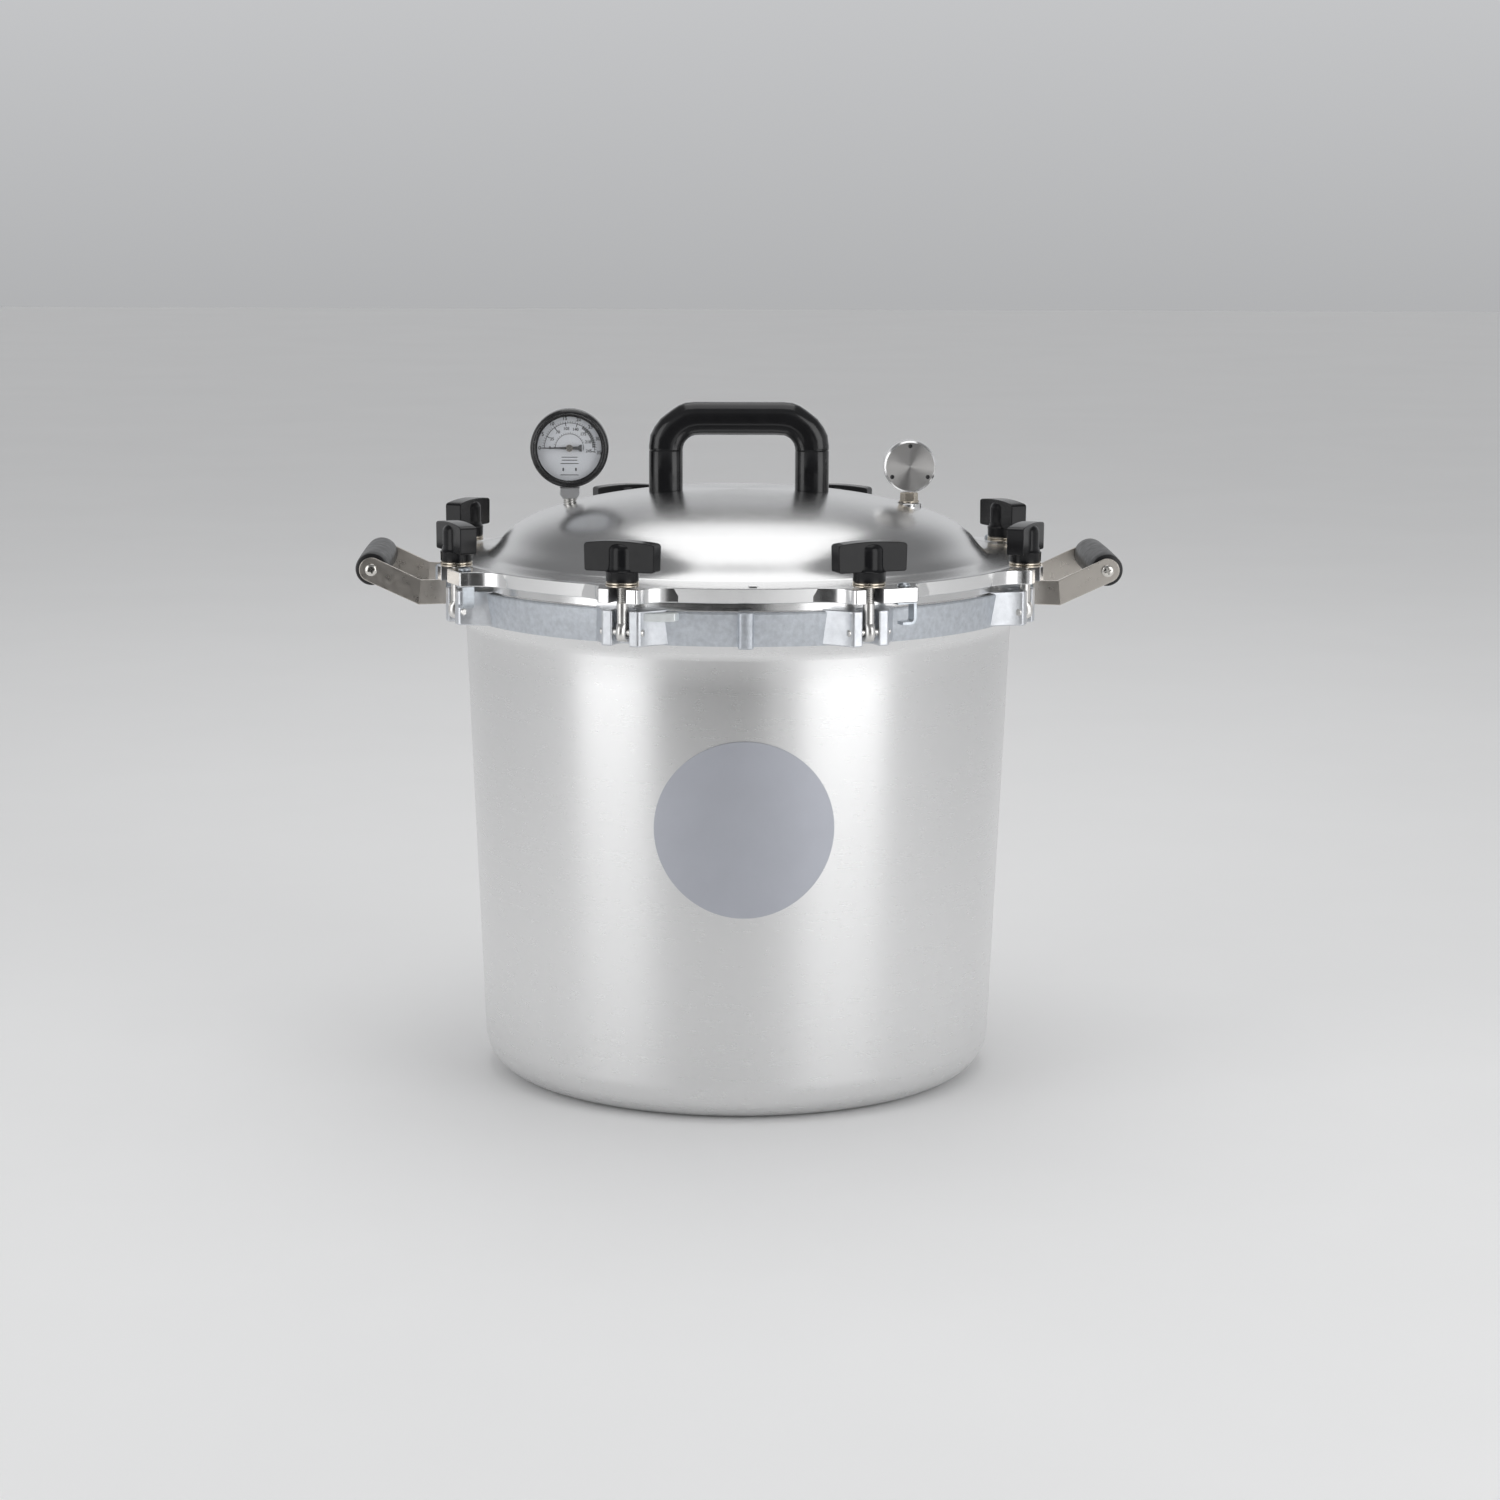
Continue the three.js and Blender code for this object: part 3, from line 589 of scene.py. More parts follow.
def strap_form(sx, sy):
    """A flat bar bent once: an arm that rises to the rod and a tab that leans inwards."""
    reach = math.hypot(ROD_X - STRAP_BEND[0], ROD_Z - STRAP_BEND[1])
    rise = math.atan2(ROD_Z - STRAP_BEND[1], ROD_X - STRAP_BEND[0])
    half, tab = STRAP_HALF, 19
    turn = Matrix.Rotation(rise, 2)
    arm = [tuple(turn @ Vector(p)) for p in arc(reach, 0, half, -90, 90, 24)]
    crease_low, crease_high = (0.8, -half - 0.2), (-0.8, half + 0.2)
    outline = [crease_low, *arm, crease_high, (-tab, half), (-tab, -half)]
    points = []
    for offset in (-STRAP_THICK / 2, STRAP_THICK / 2):
        for x, z in outline:
            lean = max(0.0, -x) * math.tan(STRAP_TURN)
            points.append((x, offset - lean, z))
    n = len(outline)
    upper = n - 3  # where the crease ends at the top
    faces = []
    for layer in (0, n):
        faces.append([layer + i for i in range(upper + 1)])
        faces.append([layer + i for i in (0, upper, upper + 1, upper + 2)])
    faces += [[i, (i + 1) % n, n + (i + 1) % n, n + i] for i in range(n)]
    return Form().add((points, faces), strap_place(sx, sy))


def cross(arm, web):
    """Outline of a plus sign, half its reach and half its width."""
    quarter = [(arm, -web), (arm, web), (web, web)]
    out = []
    for _ in range(4):
        out += quarter
        quarter = [(-y, x) for x, y in quarter]
    return out


def build_side_handles():
    for name, sx in (("left", -1), ("right", 1)):
        axis = at(sx * ROD_X, 0, ROD_Z) @ STAND_ALONG_Y
        for side, sy in (("front", -1), ("rear", 1)):
            piece(f"side_strap_{name}_{side}", strap_form(sx, sy), "pot",
                  [M["stainless"]], replaces=[f"strap_{name}_{side}"], rounding=0.5, sharp=8)
        crown = [(3.4, -GRIP_HALF), (10.2, -GRIP_HALF), (11.2, -GRIP_HALF + 0.5),
                 (11.65, -GRIP_HALF + 2)]
        barrel = [(GRIP_RADIUS - 0.3 * (y / 50) ** 2, y) for y in (-40, -24, -8, 8, 24, 40)]
        outline = crown + barrel + [(r, -y) for r, y in reversed(crown)]
        piece(f"grip_{name}", Form().add(lathe(outline, 64, closed=True), axis), f"grip_{name}",
              [M["grip"]], replaces=[f"side_grip_{name}"])

        face = ROD_END - 2
        head = [(3, face), (4.3, face), (4.5, face + 0.3), (4.4, face + 0.9), (3.6, face + 1.6),
                (2, face + 1.95), (0, face + 2)]
        rod = [(r, -y) for r, y in reversed(head)] + head
        recess = Form()
        for end in (-1, 1):
            recess.add(prism(cross(2.6, 0.55), -1.3, 1.3),
                       at(sx * ROD_X, end * ROD_END, ROD_Z) @ STAND_ALONG_Y @ about("Z", 20))
        piece(f"handle_rod_{name}", Form().add(lathe(rod, 48), axis), "pot",
              [M["screw"]], replaces=[f"grip_rod_{name}"], cutters=[recess])


# ---------------- lid

def ear_outline(reach, hooked):
    def foot(x):
        return (x, -math.sqrt((FLANGE_RADIUS - 0.7) ** 2 - x ** 2))

    tip = -EAR_RADIUS
    left = bend(foot(-EAR_HALF - 21), (-EAR_HALF - 1.5, -212), (-EAR_HALF, tip + 2))
    right = bend((reach, tip + 2), (reach + 1.5, -209 if hooked else -212), foot(reach + 21))
    slot = [(-SLOT_HALF, tip), *arc(0, -BOLT_CIRCLE, SLOT_HALF, 180, 0, 16), (SLOT_HALF, tip)]
    return [*left, (-EAR_HALF + 1.5, tip), *slot, (reach - 1.5, tip), *right, (20, -200), (-20, -200)]


def build_lid():
    dome = through(DOME, 8)
    inside = [(max(0.0, r - 4.5), z - 5.6) for r, z in through(DOME[2:], 5)][::-1]
    spigot = MOUTH_RADIUS - 0.6
    under = [(186, RIM_Z - 5.5), (MOUTH_RADIUS - 2, RIM_Z - 5.5), (spigot, RIM_Z - 4),
             (spigot, FLANGE_Z), (FLANGE_RADIUS - 1.5, FLANGE_Z)]
    edge = [(FLANGE_RADIUS - 1.0, FLANGE_Z + 0.5), (FLANGE_RADIUS, FLANGE_TOP - 0.6)]
    top = [(FLANGE_RADIUS - 0.2, FLANGE_TOP - 0.2), (FLANGE_RADIUS - 0.8, FLANGE_TOP),
           (202, FLANGE_TOP + 0.15), (193, FLANGE_TOP + 0.4), (188.5, FLANGE_TOP + 0.75),
           (185, FLANGE_TOP + 1.3)]
    outline = under + edge + top + dome + inside + [(176, 379), (185, 372)]
    bands = [2] * len(under) + [1] * len(edge) + [0] * (len(outline) - len(under) - len(edge))
    steps = zip(bands, outline, outline[1:] + outline[:1])
    paint = [band for band, a, b in steps if max(a[0], b[0]) > POLE]  # rows along the axis are empty
    shell = Form().add(lathe(outline, 192, closed=True), paint=paint)

    spot_faces, seats = Form(), Form()
    for x, y, z, radius, bore in ((0, PLUG_Y, PLUG_SEAT, PLUG_SEAT_RADIUS, PLUG_BORE),
                                  (VENT_X, 0, VENT_SEAT, VENT_SEAT_RADIUS, VENT_BORE)):
        spot_faces.add(lathe([(0, z), (radius, z), (radius, 435), (0, 435)], 48), at(x, y, 0))
        boss = [(bore, z - 9), (radius - 0.1, z - 9), (radius - 0.1, z - 0.4), (radius - 0.5, z),
                (bore, z)]
        seats.add(lathe(boss, 48, closed=True), at(x, y, 0))
    plug_hole = Form().add(lathe([(0, 395), (PLUG_BORE, 395), (PLUG_BORE, 440), (0, 440)], 32),
                           at(0, PLUG_Y, 0))
    piece("lid_shell", shell, "lid", [M["dome"], M["polished"], M["machined"]],
          replaces=["lid"], cutters=[spot_faces, plug_hole])
    piece("lid_seats", seats, "lid", [M["machined"]])

    ears = Form()
    for i in range(CLAMPS):
        hooked = i % 2 == 0
        outline = ear_outline(HOOKED_REACH if hooked else EAR_HALF, hooked)
        # The walls inside each slot take the dark slot material, painted shade in the recess.
        in_slot = [abs(x) < SLOT_HALF + 0.01 and y < -200 for x, y in outline]
        shaded_slot_walls = [int(a and b) for a, b in zip(in_slot, in_slot[1:] + in_slot[:1])]
        ears.add(prism(outline, FLANGE_Z + 0.04, FLANGE_TOP - 0.04), clamp_turn(i), paint=[0, 0] + shaded_slot_walls)
    ears.add(block(1.6, 8, -204.4, -200.6, FLANGE_TOP - 2, FLANGE_TOP + 1.4))  # index mark at the front
    piece("lid_ears", ears, "lid", [M["polished"], M["slot"]], rounding=0.7)

    for k in range(CLAMPS // 2):
        build_hook(k)


def build_hook(k):
    half, thick, flat, leg, foot = 4.3, 2.2, 1.1, HOOKED_REACH - 1, HOOK_FOOT
    bend_inside, bend_outside = 2, 4.2
    top = FLANGE_Z - GAP
    inner = leg - thick
    outline = [(18.5, top), (18.5, top - flat), (inner, top - flat), (inner, foot + thick + bend_inside),
               *arc(inner - bend_inside, foot + thick + bend_inside, bend_inside, -15, -90, 4),
               (22.5, foot + thick), (22.5, foot),
               *arc(leg - bend_outside, foot + bend_outside, bend_outside, -90, 0, 6), (leg, top)]
    turn = clamp_turn(2 * k)
    form = Form().add(prism(outline, -half, half), turn @ at(0, -HOOK_Y, 0) @ STAND_ALONG_Y)
    head = FLANGE_TOP + GAP
    rivet = [(0, FLANGE_Z - 1), (2.4, FLANGE_Z - 1), (2.4, head), (4.4, head), (4.6, head + 0.35),
             (4.2, head + 1.4), (3.1, head + 2.2), (1.5, head + 2.6), (0, head + 2.7)]
    form.add(lathe(rivet, 32), turn @ at(HOOK_X, -HOOK_Y, 0))
    piece(f"catch_hook_{k + 1}", form, "lid", [M["zinc"]], replaces=[f"lid_hook_{k + 1}"],
          rounding=0.35)


# ---------------- top handle

def build_top_handle():
    top, side = HANDLE_TOP, HANDLE_HALF
    inward, under = side - 41, top - 24
    depth, squareness, ring = 12, 2 / 2.6, 40
    seam = top - 35
    feet = (427.3, 429.2)  # outer and inner height where a leg stands on the dome
    outer = [(0.0, feet[0]), (0.0, 440), (0.0, seam - 0.7), (0.0, seam), (0.0, seam + 0.7),
             (0.0, top - 32), (1.0, top - 24.1), (3.9, top - 18.3), (8.4, top - 12.3), (12.6, top - 8.9),
             (17.0, top - 5.6), (21.6, top - 2.6), (26.5, top - 0.7), (33.0, top), (48.0, top)]
    fillet = arc(inward + 11, under - 11, 11, 180, 90, 7)
    past_fillet = fillet[-1][0]
    inner = [(inward, feet[1]), (inward, 440), (inward, seam - 0.7), (inward, seam),
             (inward, seam + 0.7), *fillet[:-1], (past_fillet + 3, under), (past_fillet + 8, under),
             (past_fillet + 15, under)]

    def section(a, b, sign, pinch):
        centre, reach = (Vector(a) + Vector(b)) / 2, (Vector(a) - Vector(b))
        half, direction = reach.length / 2, reach.normalized()
        points = []
        for j in range(ring):
            angle = 2 * math.pi * j / ring
            c, s = math.cos(angle), math.sin(angle)
            u = math.copysign(abs(c) ** squareness, c) * (half - pinch)
            v = math.copysign(abs(s) ** squareness, s) * (depth - pinch)
            x, z = centre + direction * u
            points.append((sign * (side - x), v, z))
        return points

    stations = [(a, b, 0.45 if i == 3 else 0.0) for i, (a, b) in enumerate(zip(outer, inner))]
    left = [section(a, b, -1, pinch) for a, b, pinch in stations]
    right = [section(a, b, 1, pinch) for a, b, pinch in reversed(stations)]
    piece("bail_handle", Form().add(loft(left + right)), "lid", [M["phenolic"]],
          replaces=["top_handle"], sharp=50)


# ---------------- clamps

def thread(radius, depth, low, high, pitch, steps=28):
    """(points, faces) of a threaded rod, one helix, closed at both ends."""
    profile = [(0.0, radius - depth), (0.3, radius), (0.5, radius), (0.8, radius - depth)]
    turns = int((high - low) / pitch) - 1
    rows = turns * len(profile)
    points = []
    for i in range(rows + len(profile) + 1):
        share, r = profile[i % len(profile)]
        z = low + pitch * (i // len(profile) + share)
        for j in range(steps):
            angle = 2 * math.pi * j / steps
            points.append((r * math.cos(angle), r * math.sin(angle), z + pitch * j / steps))
    faces = []
    for i in range(rows):
        for j in range(steps - 1):
            here, above = i * steps + j, (i + 1) * steps + j
            faces.append([here, here + 1, above + 1, above])
        a, b = i * steps + steps - 1, (i + len(profile)) * steps
        faces.append([a, b, b + steps, a + steps])
    ends = range(len(profile), 0, -1)
    faces.append([*range(steps), *(k * steps for k in ends)])
    faces.append([rows * steps + j for j in range(steps)] + [(rows + k) * steps for k in ends])
    return points, faces


def build_bolt(k, stand):
    bolt = Form()
    shank = [(0, PIN_Z + 4), (BOLT_RADIUS, PIN_Z + 4), (BOLT_RADIUS, THREAD_FROM),
             (BOLT_RADIUS - 0.6, THREAD_FROM + 0.8), (0, THREAD_FROM + 0.8)]
    bolt.add(lathe(shank, 32), stand)
    bolt.add(thread(BOLT_RADIUS, 0.62, THREAD_FROM - 0.6, BOLT_TOP - 0.2, THREAD_PITCH), stand)
    tip = [(0, BOLT_TOP - 3), (BOLT_RADIUS - 0.65, BOLT_TOP - 3), (BOLT_RADIUS - 0.7, BOLT_TOP - 0.6),
           (BOLT_RADIUS - 1.3, BOLT_TOP), (0, BOLT_TOP)]
    bolt.add(lathe(tip, 28), stand)
    piece(f"bolt_shank_{k}", bolt, f"bolt_{k}", [M["steel"]], replaces=[f"swing_bolt_{k}"])

    # The eye is blunt: (height, depth) of its ovals as shares of its radius, from the bottom up.
    profile = [(-1, 0.25), (-0.93, 0.55), (-0.7, 0.85), (-0.35, 0.98), (0, 1), (0.45, 0.95),
               (0.8, 0.78), (1, 0.62)]
    oval = [(EYE_HALF * c, EYE_RADIUS * s) for c, s in arc(0, 0, 1, 0, 348.75, 31)]
    eye = loft([[(x, y * deep, EYE_RADIUS * up) for x, y in oval] for up, deep in profile])
    around_pin = PIN_RADIUS + 0.4
    bore = Form().add(lathe([(0, -9), (around_pin, -9), (around_pin, 9), (0, 9)], 32),
                      stand @ at(0, 0, PIN_Z) @ about("Y", 90))
    piece(f"bolt_eye_{k}", Form().add(eye, stand @ at(0, 0, PIN_Z)), f"bolt_{k}",
          [M["steel"]], sharp=50, cutters=[bore])


def build_nut(k, stand):
    bore, wide, edge = BOLT_RADIUS + 0.4, NUT_RADIUS - 0.15, NUT_RADIUS
    bore_top = BOLT_TOP + 0.8
    wing_z, boss, crown = NUT_Z + 8.5, 9.65, NUT_TOP - 1.6
    neck_top = wing_z + 0.6
    dome = [(boss - 5 + 5 * c, crown - 5.2 + 5.2 * s) for c, s in arc(0, 0, 1, 0, 90, 6)]
    hub = [(bore, NUT_Z + 1.6), (edge - 0.9, NUT_Z + 1.6), (edge - 0.25, NUT_Z + 2.3),
           (wide, wing_z - 1.0), (edge, wing_z - 0.6), (edge, wing_z + 0.2), (edge - 0.6, neck_top),
           (boss + 0.4, neck_top + 1.6), (boss, neck_top + 4), *dome, (0, crown)]
    cavity = [(0, bore_top), (bore, bore_top - 0.2)]
    nut = Form().add(lathe(hub + cavity, 56, closed=True), stand)
    inside = BOLT_RADIUS + 0.35
    insert = [(inside, NUT_Z + 0.02), (edge - 0.5, NUT_Z + 0.02), (wide, NUT_Z + 0.4),
              (wide, NUT_Z + 1.2), (edge - 0.7, NUT_Z + 1.7), (inside, NUT_Z + 1.7)]
    nut.add(lathe(insert, 48, closed=True), stand, paint=1)
    piece(f"wing_nut_hub_{k}", nut, f"nut_{k}", [M["nut"], M["brass"]],
          replaces=[f"wing_nut_{k}"], sharp=40)

    half = WING_HALF
    side = [(boss - 2, wing_z), (half - 1.6, wing_z), (half - 0.4, wing_z + 0.9),
            (half, NUT_TOP - 3.4), (half - 0.6, NUT_TOP - 2.2)]
    arch = bend((half - 2.2, NUT_TOP - 1.5), (0, NUT_TOP + 1.5), (-half + 2.2, NUT_TOP - 1.5), 14)
    outline = side + arch + [(-x, z) for x, z in reversed(side)]
    blades = Form().add(prism(outline, -WING_THICK / 2, WING_THICK / 2), stand @ STAND_ALONG_Y)
    # The blades are a piece of their own, because the bolt's bore would cut their outline in two.
    room = [(0, wing_z - 1), (bore, wing_z - 1), (bore, bore_top), (0, bore_top)]
    bolt_room = Form().add(lathe(room, 24), stand)
    piece(f"wing_nut_blades_{k}", blades, f"nut_{k}", [M["nut"]], rounding=1.5, rounds=4,
          cutters=[bolt_room])


def build_clamp(i):
    k = i + 1
    stand = clamp_turn(i) @ at(0, -BOLT_CIRCLE, 0)
    build_bolt(k, stand)
    hole, edge = BOLT_RADIUS + 0.6, NUT_RADIUS
    ring = [(hole, WASHER_Z), (edge - 0.3, WASHER_Z), (edge, WASHER_Z + 0.3),
            (edge, WASHER_TOP - 0.3), (edge - 0.3, WASHER_TOP), (hole, WASHER_TOP)]
    piece(f"thrust_ring_{k}", Form().add(lathe(ring, 48, closed=True), stand), f"washer_{k}",
          [M["brass"]], replaces=[f"nut_washer_{k}"])
    build_nut(k, stand)


# ---------------- gauge, drawn flat and then stood up

def patch(x0, x1, y0, y1):
    """A printed rectangle on the dial."""
    return block(x0, x1, y0, y1, DIAL_FACE - 0.1, INK_FACE)


def bar(angle, start, end, width):
    """A short printed line on the dial, pointing outwards at an angle in degrees."""
    points, faces = patch(start, end, -width / 2, width / 2)
    turn = about("Z", angle)
    return [tuple(turn @ Vector(p)) for p in points], faces


def number(text, size, angle, radius):
    """(points, faces) of a printed number, upright and centred at an angle and a radius."""
    x, y = radius * math.cos(math.radians(angle)), radius * math.sin(math.radians(angle))
    curve = bpy.data.curves.new("number", "FONT")
    curve.body = text
    curve.size = size
    curve.offset = 0.1
    curve.align_x, curve.align_y = "CENTER", "CENTER"
    curve.resolution_u = 3
    item = bpy.data.objects.new("number", curve)
    mesh = bpy.data.meshes.new_from_object(item)
    points = [(v.co.x + x, v.co.y + y, INK_FACE) for v in mesh.vertices]
    faces = [list(p.vertices) for p in mesh.polygons]
    bpy.data.objects.remove(item)
    bpy.data.curves.remove(curve)
    bpy.data.meshes.remove(mesh)
    return points, faces


def build_gauge():
    stand = at(GAUGE_X, 0, GAUGE_Z) @ STAND_ALONG_Y
    outer = GAUGE_RADIUS
    bezel = [(27.3, 0.2), (outer - 0.5, 0), (outer, 0.6), (outer, 11.8), (outer - 0.35, 13.2),
             (outer - 1.1, 14.3), (outer - 2.1, 14.9), (25.2, 15), (24.7, 14.85), (24.2, 14.3),
             (23.3, 13.3), (27.3, 13.2)]
    piece("bezel", Form().add(lathe(bezel, 96, closed=True), stand), "lid", [M["case"]],
          replaces=["gauge_bezel"], sharp=40)
    case = [(0, -12), (23.5, -12), (25.8, -11.4), (26.8, -9.8), (27, -8), (27, 6), (25.4, 6),
            (25.4, -10), (0, -10)]
    piece("case_back", Form().add(lathe(case, 96), stand), "lid", [M["case"]],
          replaces=["gauge_case"], sharp=40)
    rim = [(24.0, 13.4), (24.75, 14.3), (25.0, 14.9), (25.5, 15.0), (25.4, 14.4), (24.6, 13.2)]
    piece("bezel_ring", Form().add(lathe(rim, 96, closed=True), stand), "lid", [M["rim"]])

    dial = [(1.6, 6.3), (27, 6.3), (27, DIAL_FACE), (1.6, DIAL_FACE)]
    piece("dial_face", Form().add(lathe(dial, 96, closed=True), stand), "lid",
          [M["dial"]], replaces=["gauge_dial"])
    piece("dial_marks", dial_marks(stand), "lid", [M["ink"]])

    tail = [(2.4, 0.95), (6.4, 1.3), (7.4, 2.3), (9, 2.6)]
    tip = [(-21, 0.25), (-8, 0.62), (-2.4, 0.95)]
    upper = tip + tail
    pointer = [(-21, -0.25)] + upper + [(x, -y) for x, y in upper[:0:-1]]
    needle = Form().add(prism(pointer, 8.6, 9.3), stand)
    hub = [(0, 8), (2.6, 8), (2.6, 10), (2.2, 10.5), (0, 10.6)]
    spindle = [(0, -4), (1, -4), (1, 8.6), (0, 8.6)]
    needle.add(lathe(hub, 32), stand, paint=1).add(lathe(spindle, 16), stand, paint=1)
    piece("pointer", needle, "needle", [M["needle"], M["brass"]], replaces=["gauge_needle"])

    under, foot = BEZEL_LOW[2] - GAP, 422.5
    socket = [(-7.3, under), (-7.3, foot + 3.2), (-5.2, foot), (5.2, foot), (7.3, foot + 3.2),
              (7.3, under)]
    stem = Form().add(prism(socket, -7, 7), at(GAUGE_X, 0, 0) @ STAND_ALONG_Y)
    piece("stem_block", stem, "lid", [M["nickel"]], replaces=["gauge_stem"],
          rounding=0.5)
    neck = Form().add(lathe([(0, 410), (3.6, 410), (3.6, 423), (0, 423)], 32), at(GAUGE_X, 0, 0))
    neck.add(thread(5, 0.7, 412, 424.6, THREAD_PITCH), at(GAUGE_X, 0, 0))
    piece("stem_thread", neck, "lid", [M["steel"]])


def dial_marks(stand):
    """Two scales with numbers, a dark zone along the outer one, and bars in place of small print."""
    ink = Form()
    scale, inner = 18.4, 10.4
    for i in range(36):
        angle = 180 - i * 5.4
        if i % 5:
            ink.add(bar(angle, scale, scale + 1.3, 0.36), stand)
        else:
            ink.add(bar(angle, scale - 2.4, scale + 0.9, 0.6), stand)
            ink.add(number(str(i), 3.6, angle, 21.7), stand)
            ink.add(number(str(i * 7), 3.0, angle, 14.2), stand)
    for i in range(18):
        ink.add(bar(176 - i * 9, 10.2, 11.4, 0.34), stand)
    for radius, width in ((scale, 0.4), (inner, 0.34)):
        line = [*arc(0, 0, radius, 180, -9, 60), *arc(0, 0, radius - width, -9, 180, 60)]
        ink.add(prism(line, DIAL_FACE - 0.1, INK_FACE), stand)
    for i in range(12):
        ink.add(bar(56 - i * 4.8, 16.6, 18.9, 1.15), stand)
    for y, reach in ((-6.7, 5.8), (-8.9, 5.6), (-11.3, 6.6), (-19.6, 6.6)):
        ink.add(patch(-reach, reach, y - 0.28, y + 0.28), stand)
    for x in (-4.6, 4.6):
        ink.add(patch(x - 0.6, x + 0.6, -16.7, -14.5), stand)
    return ink


# ---------------- vent, weight, plug, rack

def build_vent():
    place = at(VENT_X, 0, 0)
    seat = VENT_SEAT + GAP
    flange = [(0, seat - 8), (4.8, seat - 8), (4.8, seat), (7.1, seat), (7.4, seat + 0.3),
              (7.4, seat + 1.2), (7, seat + 1.6), (0, seat + 1.6)]
    vent = Form().add(lathe(flange, 48), place)
    vent.add(lathe([(0, seat + 1), (6.6, seat + 1), (6.6, 426.4), (5.9, 427), (0, 427)], 6), place)
    tip = [(1.5, 424), (3, 424), (3, VENT_TOP - 0.6), (2.6, VENT_TOP), (1.5, VENT_TOP)]
    vent.add(lathe(tip, 32, closed=True), place)
    piece("vent_body", vent, "lid", [M["brass"]], replaces=["vent_pipe"], rounding=0.2)


def build_weight():
    stand = at(VENT_X, 0, WEIGHT_Z) @ STAND_ALONG_Y
    half, radius = WEIGHT_HALF, WEIGHT_RADIUS
    edge = [(radius - 1.4, half), (radius - 0.2, half - 0.9), (radius, half - 1.4)]
    disc = [(0, -half)] + [(r, -h) for r, h in edge] + edge[::-1] + [(0, half)]
    form = Form().add(lathe(disc, 96), stand, paint=[0, 1, 1, 1, 1, 1, 0])
    drill = lathe([(0, half - 3), (1.6, half - 3), (1.6, half + 2), (0, half + 2)], 24)
    dark = lathe([(0, half - 2.9), (1.55, half - 2.9), (1.55, half - 0.7), (1.2, half - 0.9),
                  (0, half - 1.4)], 24)
    holes, shade = Form(), Form()
    for turn in (0, 120, 240):
        place = stand @ about("Z", turn) @ at(0, 15, 0)
        holes.add(drill, place)
        shade.add(dark, place)
    holes.add(lathe([(0, -30), (3.6, -30), (3.6, -7), (0, -7)], 32), at(VENT_X, 0, WEIGHT_Z))
    piece("weight_disc", form, "weight", [M["weight"], M["polished"]],
          replaces=["regulator_weight"], cutters=[holes])
    piece("weight_hole_shade", shade, "weight", [M["needle"]])


def build_plug():
    seat = PLUG_SEAT + GAP
    outline = [(0, 406), (5.2, 406), (5.9, 409), (6.2, 411), (6.2, seat), (8.7, seat),
               (9, seat + 0.4), (9, seat + 1.1), (8.4, seat + 1.8), (6.6, seat + 2.2), (0, seat + 2.3)]
    piece("relief_plug", Form().add(lathe(outline, 48), at(0, PLUG_Y, 0)), "plug",
          [M["rubber"]], replaces=["overpressure_plug"])


def repaint(name, material):
    """Gives a CAD node that stays a finished material."""
    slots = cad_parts[name].data.materials
    if slots:
        for i in range(len(slots)):
            slots[i] = material
    else:
        slots.append(material)


def keep_nodes():
    """The nodes that stay as CAD made them: the rack, the hidden screws and the lens."""
    repaint("rack", M["rack"])
    repaint("top_handle_screw_left", M["steel"])
    repaint("top_handle_screw_right", M["steel"])
    repaint("gauge_lens", M["glass"])


# ---------------- studio and camera

def softbox(name, azimuth, distance, height, width, tall, power, down=False):
    """A soft light aimed level at the pot's axis, or straight down."""
    light = bpy.data.lights.new(name, "AREA")
    light.shape = "RECTANGLE"
    light.size, light.size_y = width, tall
    light.energy = power
    item = bpy.data.objects.new(name, light)
    a = math.radians(azimuth)
    item.location = (distance * math.sin(a), -distance * math.cos(a), height)
    look = Vector((0, 0, -1)) if down else Vector((0, 0, height)) - item.location
    item.rotation_euler = look.to_track_quat("-Z", "Y").to_euler()
    item.visible_camera = False
    bpy.context.scene.collection.objects.link(item)


def sheet(name, corners, material):
    """A flat sheet of the studio, in metres."""
    mesh = bpy.data.meshes.new(name)
    mesh.from_pydata(corners, [], [[0, 1, 2, 3]])
    mesh.materials.append(material)
    item = bpy.data.objects.new(name, mesh)
    bpy.context.scene.collection.objects.link(item)
    return item


def build_studio():
    size, drop = 12.0, -0.0003
    corners = [(x * size, y * size, drop) for x, y in ((-1, -1), (1, -1), (1, 1), (-1, 1))]
    sheet("floor", corners,
          surface("pale_floor", (0.90, 0.90, 0.90), 0.6, metallic=0, mottle=0.01, mottle_scale=3,
                  grain=200, relief=0.01, specular=0.2))
    softbox("softbox_left", -53, 2.1, 0.9, 1.15, 1.8, 9.0)
    softbox("softbox_right", 42, 2.1, 0.9, 1.35, 1.8, 12.5)
    softbox("overhead", 172, 0.66, 2.2, 1.3, 3.2, 14.5, down=True)
    fill = bpy.data.lights.new("floor_fill", "SUN")
    fill.energy = 0.85
    fill.angle = math.radians(100)
    lamp = bpy.data.objects.new("floor_fill", fill)
    lamp.visible_glossy = False
    bpy.context.scene.collection.objects.link(lamp)

    # A dark card, seen only in reflections, gives the bright wall its one dark band.
    left, right, front, top = -0.97, 0.25, -1.5, 0.6
    corners = [(x, front, z) for x, z in ((left, 0), (right, 0), (right, top), (left, top))]
    card = sheet("card", corners,
                 surface("card_black", (0.02, 0.02, 0.02), 0.9, metallic=0, relief=0, specular=0.0))
    for ray in ("camera", "diffuse", "shadow", "transmission"):
        setattr(card, f"visible_{ray}", False)
    build_world()


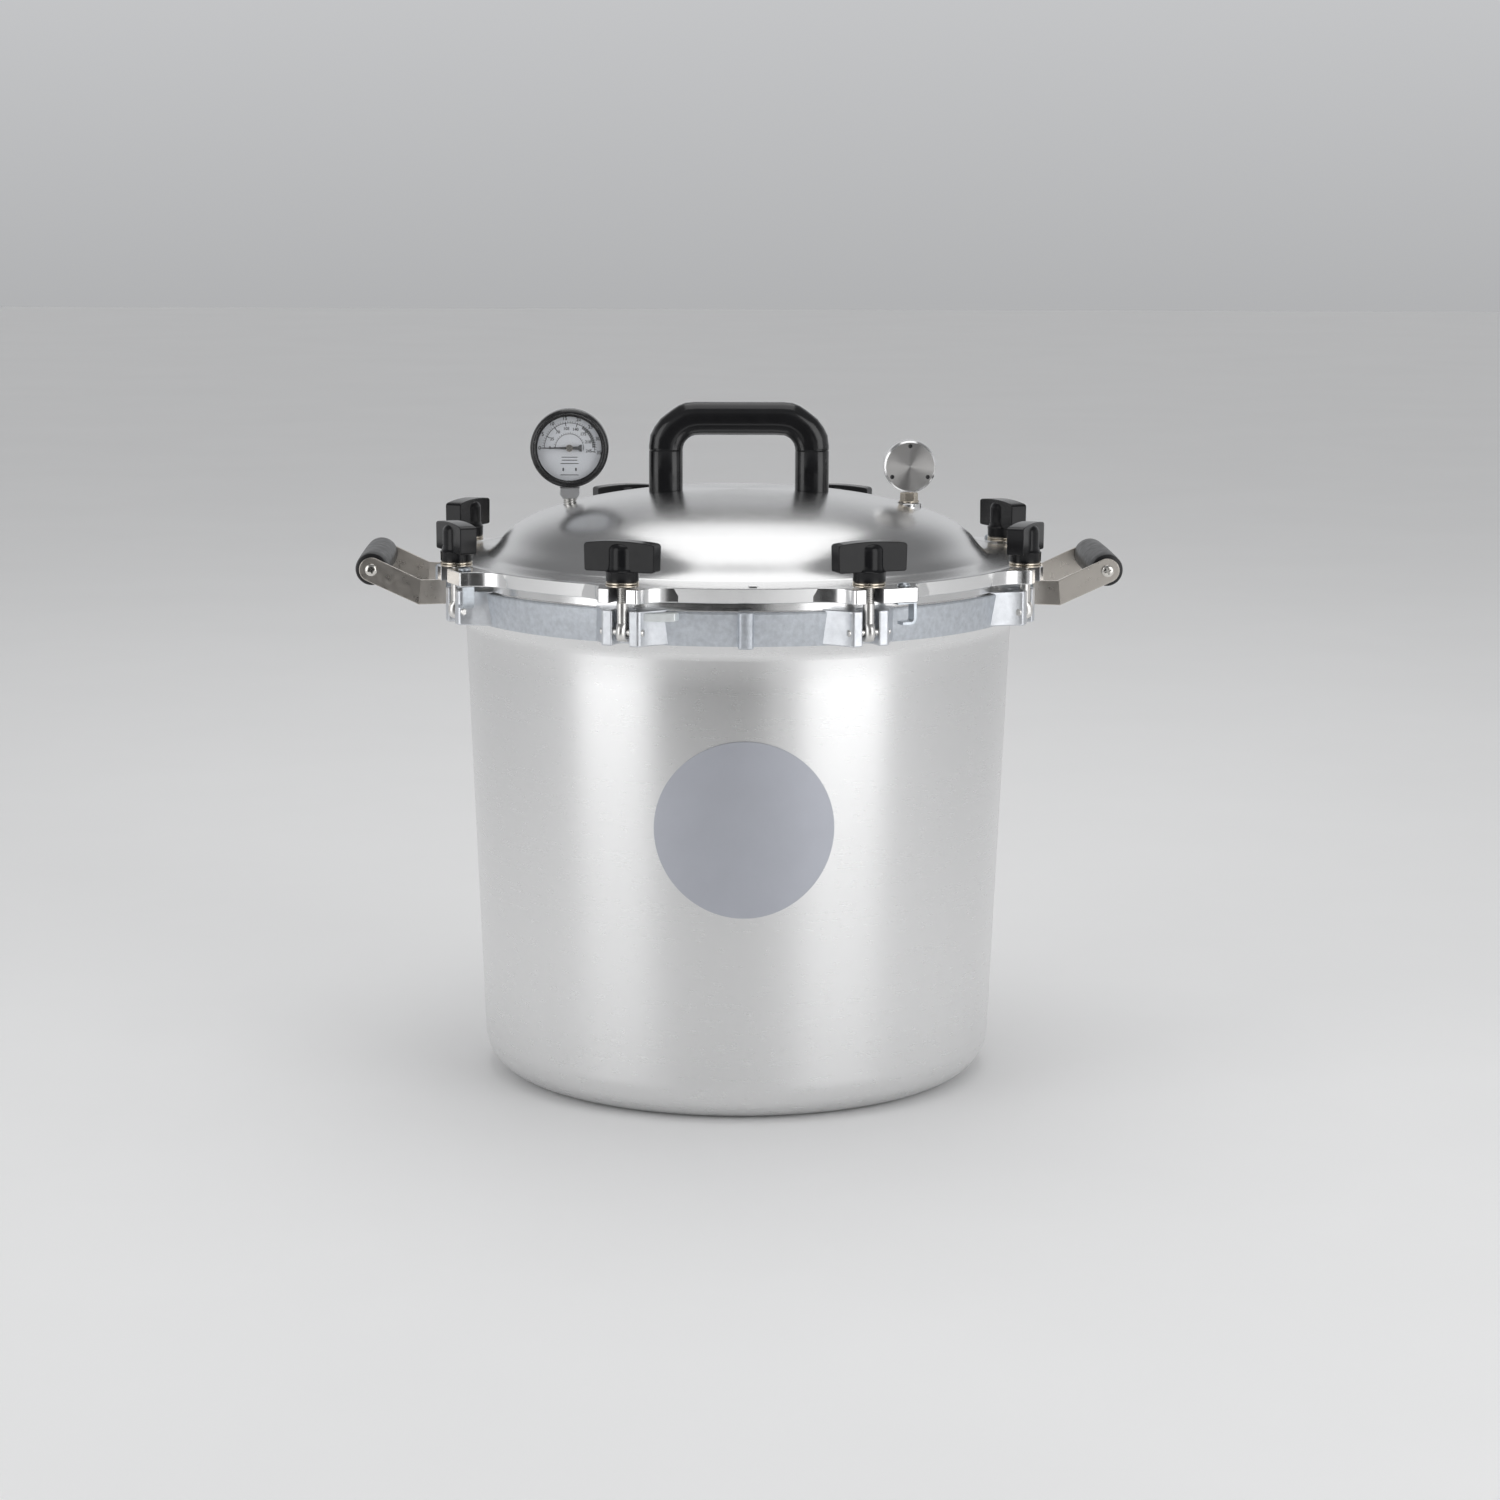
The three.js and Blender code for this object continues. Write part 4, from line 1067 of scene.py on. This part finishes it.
def build_world():
    world = bpy.data.worlds.new("studio")
    world.use_nodes = True
    bpy.context.scene.world = world
    tree = world.node_tree
    back = tree.nodes["Background"]
    back.inputs["Color"].default_value = (0.97, 0.98, 1.0, 1)
    direction = tree.nodes.new("ShaderNodeTexCoord")
    parts = tree.nodes.new("ShaderNodeSeparateXYZ")
    tree.links.new(direction.outputs["Generated"], parts.inputs[0])
    along, up = parts.outputs["Y"], parts.outputs["Z"]
    # The room is darker in front of the pot, between the two softboxes, and darker overhead.
    room = tree.nodes.new("ShaderNodeMath")
    room.operation = "MULTIPLY"
    tree.links.new(fade(tree, along, -0.97, -0.84, 0.04, 0.62), room.inputs[0])
    tree.links.new(fade(tree, up, 0.2, 0.62, 1.0, 0.30), room.inputs[1])
    # Behind the floor's far edge the backdrop starts near the floor's tone and lightens upwards.
    backdrop = fade(tree, up, -0.05, 0.06, 0.45, 0.60, smooth=False)
    seen = tree.nodes.new("ShaderNodeLightPath")
    choose = tree.nodes.new("ShaderNodeMix")
    tree.links.new(seen.outputs["Is Camera Ray"], choose.inputs["Factor"])
    tree.links.new(room.outputs[0], choose.inputs["A"])
    tree.links.new(backdrop, choose.inputs["B"])
    tree.links.new(choose.outputs["Result"], back.inputs["Strength"])


def build_camera():
    yaw, pitch, roll = 0.02837, 0.1681, 0.0047
    forward = Vector((math.sin(yaw) * math.cos(pitch), math.cos(yaw) * math.cos(pitch),
                      -math.sin(pitch)))
    level = Vector((math.cos(yaw), -math.sin(yaw), 0))
    up = level.cross(forward)
    right = math.cos(roll) * level + math.sin(roll) * up
    above = -math.sin(roll) * level + math.cos(roll) * up
    data = bpy.data.cameras.new("camera")
    data.sensor_width = 36
    data.lens = 86.67
    item = bpy.data.objects.new("camera", data)
    matrix = Matrix((right, above, -forward)).transposed().to_4x4()
    matrix.translation = (-0.06578, -2.63850, 0.68320)
    item.matrix_world = matrix
    bpy.context.scene.collection.objects.link(item)
    bpy.context.scene.camera = item


build_camera()
build_pot()
build_label()
build_side_handles()
build_lid()
build_top_handle()
for clamp in range(CLAMPS):
    build_clamp(clamp)
build_gauge()
build_vent()
build_weight()
build_plug()
keep_nodes()
build_studio()
bpy.context.scene.view_settings.view_transform = "Standard"
